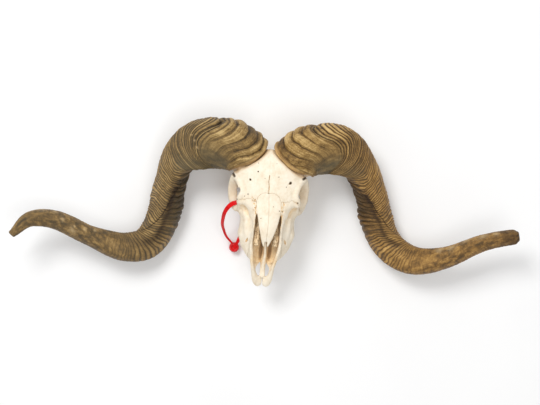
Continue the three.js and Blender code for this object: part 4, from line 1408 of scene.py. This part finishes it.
def band_piece(name, stations, material, rows=160):
    """A band with a rounded oblong section along its route, closed at both ends."""
    places, sizes = along_stations(stations, np.linspace(0, 1, rows))
    places = places + MODEL_SHIFT
    tangent = np.gradient(places, axis=0)
    across = np.cross(tangent, (0, 0, 1))
    across /= np.linalg.norm(across, axis=1, keepdims=True)
    upright = np.cross(across, tangent)
    upright /= np.linalg.norm(upright, axis=1, keepdims=True)
    angle = np.linspace(0, math.tau, BAND_COLUMNS, endpoint=False)
    section = [np.sign(wave) * np.abs(wave) ** BAND_CORNER for wave in (np.cos(angle), np.sin(angle))]
    points = places[:, None]
    for way, size, outline in zip((across, upright), sizes.T, section):
        points = points + way[:, None] * (size[:, None] / 2 * outline)[..., None]
    first = np.arange(BAND_COLUMNS)[None]
    faces = [grid_faces(rows, BAND_COLUMNS), first[:, ::-1], first + (rows - 1) * BAND_COLUMNS]
    return mesh_object(name, points.reshape(-1, 3), faces, material)


def lock_piece(name, material):
    """The round lock: faceted round its rim, with a recess in its top."""
    angle = np.linspace(0, math.tau, LOCK_SIDES, endpoint=False)
    rings = [
        np.stack([r * np.cos(angle), r * np.sin(angle), np.full(LOCK_SIDES, h)], axis=-1)
        for r, h in LOCK_PROFILE[1:-1]
    ]
    points = np.concatenate([*rings, [[0, 0, LOCK_PROFILE[0][1]]], [[0, 0, LOCK_PROFILE[-1][1]]]])
    last = len(rings) * LOCK_SIDES
    fans = []
    for i in range(LOCK_SIDES):
        after = (i + 1) % LOCK_SIDES
        fans.append((after, i, last))
        fans.append((last - LOCK_SIDES + i, last - LOCK_SIDES + after, last + 1))
    faces = [grid_faces(len(rings), LOCK_SIDES), fans]
    return mesh_object(name, points + np.add(LOCK_AT, MODEL_SHIFT), faces, material, False)


# ---- materials ----

class Value:
    """A node's output, which can be reckoned with."""

    def __init__(self, nodes, socket):
        self.nodes, self.socket = nodes, socket

    def reckon(self, operation, other, clamp=False):
        sockets = {0: self, 1: other}
        return self.nodes.add("ShaderNodeMath", 0, sockets, operation=operation, use_clamp=clamp)

    def __add__(self, other):
        return self.reckon("ADD", other)

    def __sub__(self, other):
        return self.reckon("SUBTRACT", other)

    def __mul__(self, other):
        return self.reckon("MULTIPLY", other)

    def __pow__(self, other):
        return self.reckon("POWER", other)

    def scaled(self, *scale):
        """A vector, scaled along each axis."""
        return self.nodes.add("ShaderNodeVectorMath", 0, {0: self, 1: scale}, operation="MULTIPLY")


class Nodes:
    """A short way to build a material's node tree."""

    def __init__(self, name):
        self.material = bpy.data.materials.new(name)
        self.material.use_nodes = True
        self.tree = self.material.node_tree
        self.shader = next(n for n in self.tree.nodes if n.type == "BSDF_PRINCIPLED")

    def set_inputs(self, node, sockets):
        """Link or set a node's inputs, given by name or number."""
        for key, value in sockets.items():
            if isinstance(value, Value):
                self.tree.links.new(value.socket, node.inputs[key])
            else:
                node.inputs[key].default_value = value

    def add(self, kind, output, sockets, **settings):
        """One output of a new node of a kind, with its inputs and its properties."""
        node = self.tree.nodes.new(kind)
        for key, value in settings.items():
            setattr(node, key, value)
        self.set_inputs(node, sockets)
        return Value(self, node.outputs[output])

    def number(self, name):
        return self.add("ShaderNodeAttribute", "Fac", {}, attribute_name=name)

    def vector(self, name):
        return self.add("ShaderNodeAttribute", "Vector", {}, attribute_name=name)

    def noise(self, vector, scale=1.0, detail=2.0, rough=0.5):
        sockets = {"Vector": vector, "Scale": scale, "Detail": detail, "Roughness": rough}
        return self.add("ShaderNodeTexNoise", "Fac", sockets)

    def ramp(self, value, *stops):
        """Colours or numbers along a value: each stop is a place and a colour or a number."""
        ramp = self.add("ShaderNodeValToRGB", "Color", {0: value})
        elements = ramp.socket.node.color_ramp.elements
        while len(elements) < len(stops):
            elements.new(1.0)
        for element, (place, colour) in zip(elements, stops):
            element.position = place
            element.color = (*colour, 1) if isinstance(colour, tuple) else (colour, colour, colour, 1)
        return ramp

    def mix(self, factor, a, b, blend="MIX"):
        sockets = {0: factor, 6: a, 7: b}
        sockets = {k: (*v, 1) if isinstance(v, tuple) else v for k, v in sockets.items()}
        return self.add("ShaderNodeMix", 2, sockets, data_type="RGBA", blend_type=blend)

    def finish(self, colour, roughness, specular=0.5, relief=None):
        """The finished material; its relief is a height, a distance and a strength."""
        sockets = {"Base Color": colour, "Roughness": roughness, "Specular IOR Level": specular}
        if relief:
            bumped = dict(zip(("Height", "Distance", "Strength"), relief))
            sockets["Normal"] = self.add("ShaderNodeBump", 0, bumped)
        self.set_inputs(self.shader, sockets)
        return self.material


def horn_material():
    """Ringed horn: fibres and fine lines follow the rings, with dark grooves and pale crests."""
    n = Nodes("ringed_horn")
    lines = n.vector("lines")
    hair = n.noise(lines.scaled(1.5, 0.07, 0.07), 1.0, 4.0, 0.65)
    bands = n.noise(lines.scaled(0.28, 0.03, 0.03), 1.0, 3.0, 0.6)
    spots = n.noise(lines.scaled(0.11, 0.11, 0.11), 1.0, 5.0, 0.7)
    speck = n.noise(lines.scaled(0.9, 0.55, 0.55), 1.0, 3.0, 0.7)
    blotch = n.noise(lines.scaled(0.06, 0.10, 0.10), 1.0, 6.0, 0.65)
    wear = n.noise(lines.scaled(2.6, 0.22, 0.22), 1.0, 3.0, 0.7)
    ringed = hair * 0.45 + bands * 0.22 + n.number("crest") ** 1.3 * 0.66 + spots * 0.50 + speck * 0.50
    tone = n.mix(n.number("plain"), ringed * 1.5 - 1.26, blotch * 2.7 + hair * 0.4 - 1.14)
    brown = n.ramp(
        tone,
        (0.0, (0.020, 0.010, 0.003)),
        (0.22, (0.080, 0.043, 0.011)),
        (0.42, (0.200, 0.118, 0.034)),
        (0.62, (0.370, 0.240, 0.082)),
        (0.92, (0.680, 0.500, 0.230)),
    )
    colour = n.mix(0.5, brown, (1.0, 0.88, 0.70), "MULTIPLY")
    colour = n.mix(n.number("gold") * 0.75, colour, (0.98, 0.74, 0.36), "MULTIPLY")
    for name, share, tint in (
        ("gold", 0.16, (0.50, 0.31, 0.12)),
        ("grey", 0.6, (0.110, 0.102, 0.062)),
        # pale: painted highlights on the left horn, pale chips and blotches on the right horn
        ("pale", 0.62, (0.62, 0.44, 0.22)),
        ("rim", 0.75, (0.56, 0.34, 0.14)),
        # dark: scars, crack, crease, nicks and a worn end, with painted shade along the valley
        ("dark", 0.9, (0.022, 0.010, 0.004)),
    ):
        colour = n.mix(n.number(name) * share, colour, tint)
    rough = n.ramp(hair, (0.2, 0.62), (0.8, 0.46))
    height = hair * 0.7 + wear * 0.4 + speck * 0.6
    return n.finish(colour, rough, 0.28, (height, 0.0018, 0.7))


def bone_material(name, inner=False):
    """Dry bone: cream where it is open, tan to brown where it is hidden, with fine pores."""
    n = Nodes(name)
    place = n.vector("place")
    broad = n.noise(place.scaled(0.045, 0.045, 0.045), 1.0, 4.0, 0.6)
    middle = n.noise(place.scaled(0.22, 0.16, 0.22), 1.0, 4.0, 0.65)
    grain = n.noise(place.scaled(1.1, 0.45, 1.1), 1.0, 4.0, 0.7)
    flecks = n.noise(place.scaled(0.9, 0.9, 0.9), 1.0, 2.0, 0.6)
    cream = n.ramp(
        broad * 0.6 + middle * 0.4,
        (0.3, (0.72, 0.60, 0.43)),
        (0.5, (0.86, 0.76, 0.60)),
        (0.68, (0.91, 0.84, 0.71)),
    )
    tan = n.ramp(middle, (0.3, (0.76, 0.49, 0.22)), (0.7, (0.97, 0.77, 0.47)))
    deep = n.ramp(n.number("hollow"), (0.50, 0.0), (0.72, 1.0))
    near = n.ramp(n.number("cavity"), (0.55, 0.0), (0.75, 1.0))
    stain = n.number("stain")
    hidden = (deep * 0.6).reckon("MAXIMUM", near * 0.6)
    hidden = hidden.reckon("MAXIMUM", stain.reckon("MULTIPLY", 1.5, True))
    brown = n.ramp(stain + grain * 0.25, (0.74, 0.0), (1.05, 1.0))
    line = n.ramp(n.number("suture"), (0.0, 1.0), (0.55, 0.0))
    colour = n.mix(hidden, cream, tan)
    for share, tint in (
        (brown * 0.8, (0.20, 0.095, 0.028)),
        (n.number("orange") * 0.6, (0.56, 0.35, 0.15)),
        (line * (grain * 0.9), (0.35, 0.23, 0.12)),
        (n.number("touch") * (middle * 1.3), (0.50, 0.31, 0.14)),
        # pit: painted shade in the openings, slots and slit, and brown in the small pits
        (n.number("pit") * 0.92, (0.045, 0.020, 0.008)),
        (n.ramp(flecks, (0.69, 0.0), (0.76, 1.0)) * 0.45, (0.42, 0.27, 0.13)),
    ):
        colour = n.mix(share, colour, tint)
    if inner:
        folds = n.noise(place.scaled(0.42, 0.12, 0.42), 1.0, 4.0, 0.7)
        folds = n.ramp(folds, (0.48, 0.0), (0.56, 1.0))
        colour = n.mix(folds * 0.75, colour, (0.20, 0.11, 0.04))
    height = middle * 0.6 + grain * 0.35 - line * 0.4
    return n.finish(colour, 0.62, 0.35, (height, 0.0012, 0.35))


def seal_material():
    """Glossy red plastic with faint mould marks."""
    n = Nodes("red_plastic")
    place = n.add("ShaderNodeTexCoord", "Object", {})
    mottle = n.noise(place, 90.0, 3.0)
    red = n.ramp(mottle, (0.3, (0.46, 0.001, 0.002)), (0.7, (0.78, 0.002, 0.004)))
    rough = n.ramp(n.noise(place, 400.0), (0.3, 0.20), (0.7, 0.34))
    return n.finish(red, rough, 0.25, (n.noise(place, 220.0), 0.0004, 0.35))


# ---- the studio ----

FLOOR_REACH = 6000
# Square lights that point at the skull: place, size and power, in metres and watts.
LIGHTS = {
    "key": ((-0.9, 1.3, 2.7), 1.1, 50),
    "fill": ((0.5, -0.5, 3.1), 1.6, 24),
}
WORLD_STRENGTH = 0.55


def add_floor():
    """A plain pale floor."""
    n = Nodes("pale_floor")
    place = n.add("ShaderNodeTexCoord", "Object", {})
    tint = n.ramp(n.noise(place, 3.0), (0.3, (0.87, 0.87, 0.87)), (0.7, (0.9, 0.9, 0.9)))
    corners = [(x * FLOOR_REACH, y * FLOOR_REACH, 0) for x, y in ((-1, -1), (1, -1), (1, 1), (-1, 1))]
    floor = mesh_object("floor", corners, [[[0, 1, 2, 3]]], n.finish(tint, 0.8), False)


def add_light(name, place, size, energy):
    data = bpy.data.lights.new(name, "AREA")
    data.size = size
    data.energy = energy
    light = bpy.data.objects.new(name, data)
    light.location = place
    light.rotation_euler = (-Vector(place)).to_track_quat("-Z", "Y").to_euler()
    bpy.context.scene.collection.objects.link(light)


def add_studio():
    add_floor()
    for name, numbers in LIGHTS.items():
        add_light(name, *numbers)
    world = bpy.data.worlds.new("soft_room")
    world.use_nodes = True
    background = world.node_tree.nodes["Background"]
    background.inputs["Color"].default_value = (1, 1, 1, 1)
    background.inputs["Strength"].default_value = WORLD_STRENGTH
    bpy.context.scene.world = world
    bpy.context.scene.view_settings.view_transform = "Standard"


# ---- everything together ----

def hand_over(piece, slot, *nodes):
    """Say what a piece moves with and what it stands for; its slot, what it is made of, is not used."""
    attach(piece, "root")
    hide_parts(*nodes)


def main():
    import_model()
    add_camera()
    add_studio()
    horn = horn_material()
    roots = [(HornShape(LEFT_HORN, -1), LEFT_MARKS), (HornShape(RIGHT_HORN, 1), RIGHT_MARKS)]
    for side, (shape, marks) in zip(SIDES, roots):
        piece = horn_piece(f"horn_{side}", shape, marks, horn)
        hand_over(piece, "horn", *[f"horn_{side}_{part}" for part in ("base", "arch", "drop", "tip")])
    bone = bone_material("dry_bone")
    inner_bone = bone_material("inner_bone", True)
    for node, piece in skull_pieces(roots, bone):
        hand_over(piece, "inner_bone" if node == "vomer" else "bone", node)
    for name, side in SIDES.items():
        hand_over(turbinate_piece(f"scroll_{name}", side, inner_bone), "inner_bone", f"turbinate_{name}")
    red = seal_material()
    hand_over(band_piece("seal_band", STRAP, red), "seal", "seal_strap")
    hand_over(lock_piece("seal_lock_body", red), "seal", "seal_lock")
    hand_over(band_piece("seal_tab", LOCK_TAB, red, 30), "seal", "seal_lock")


main()
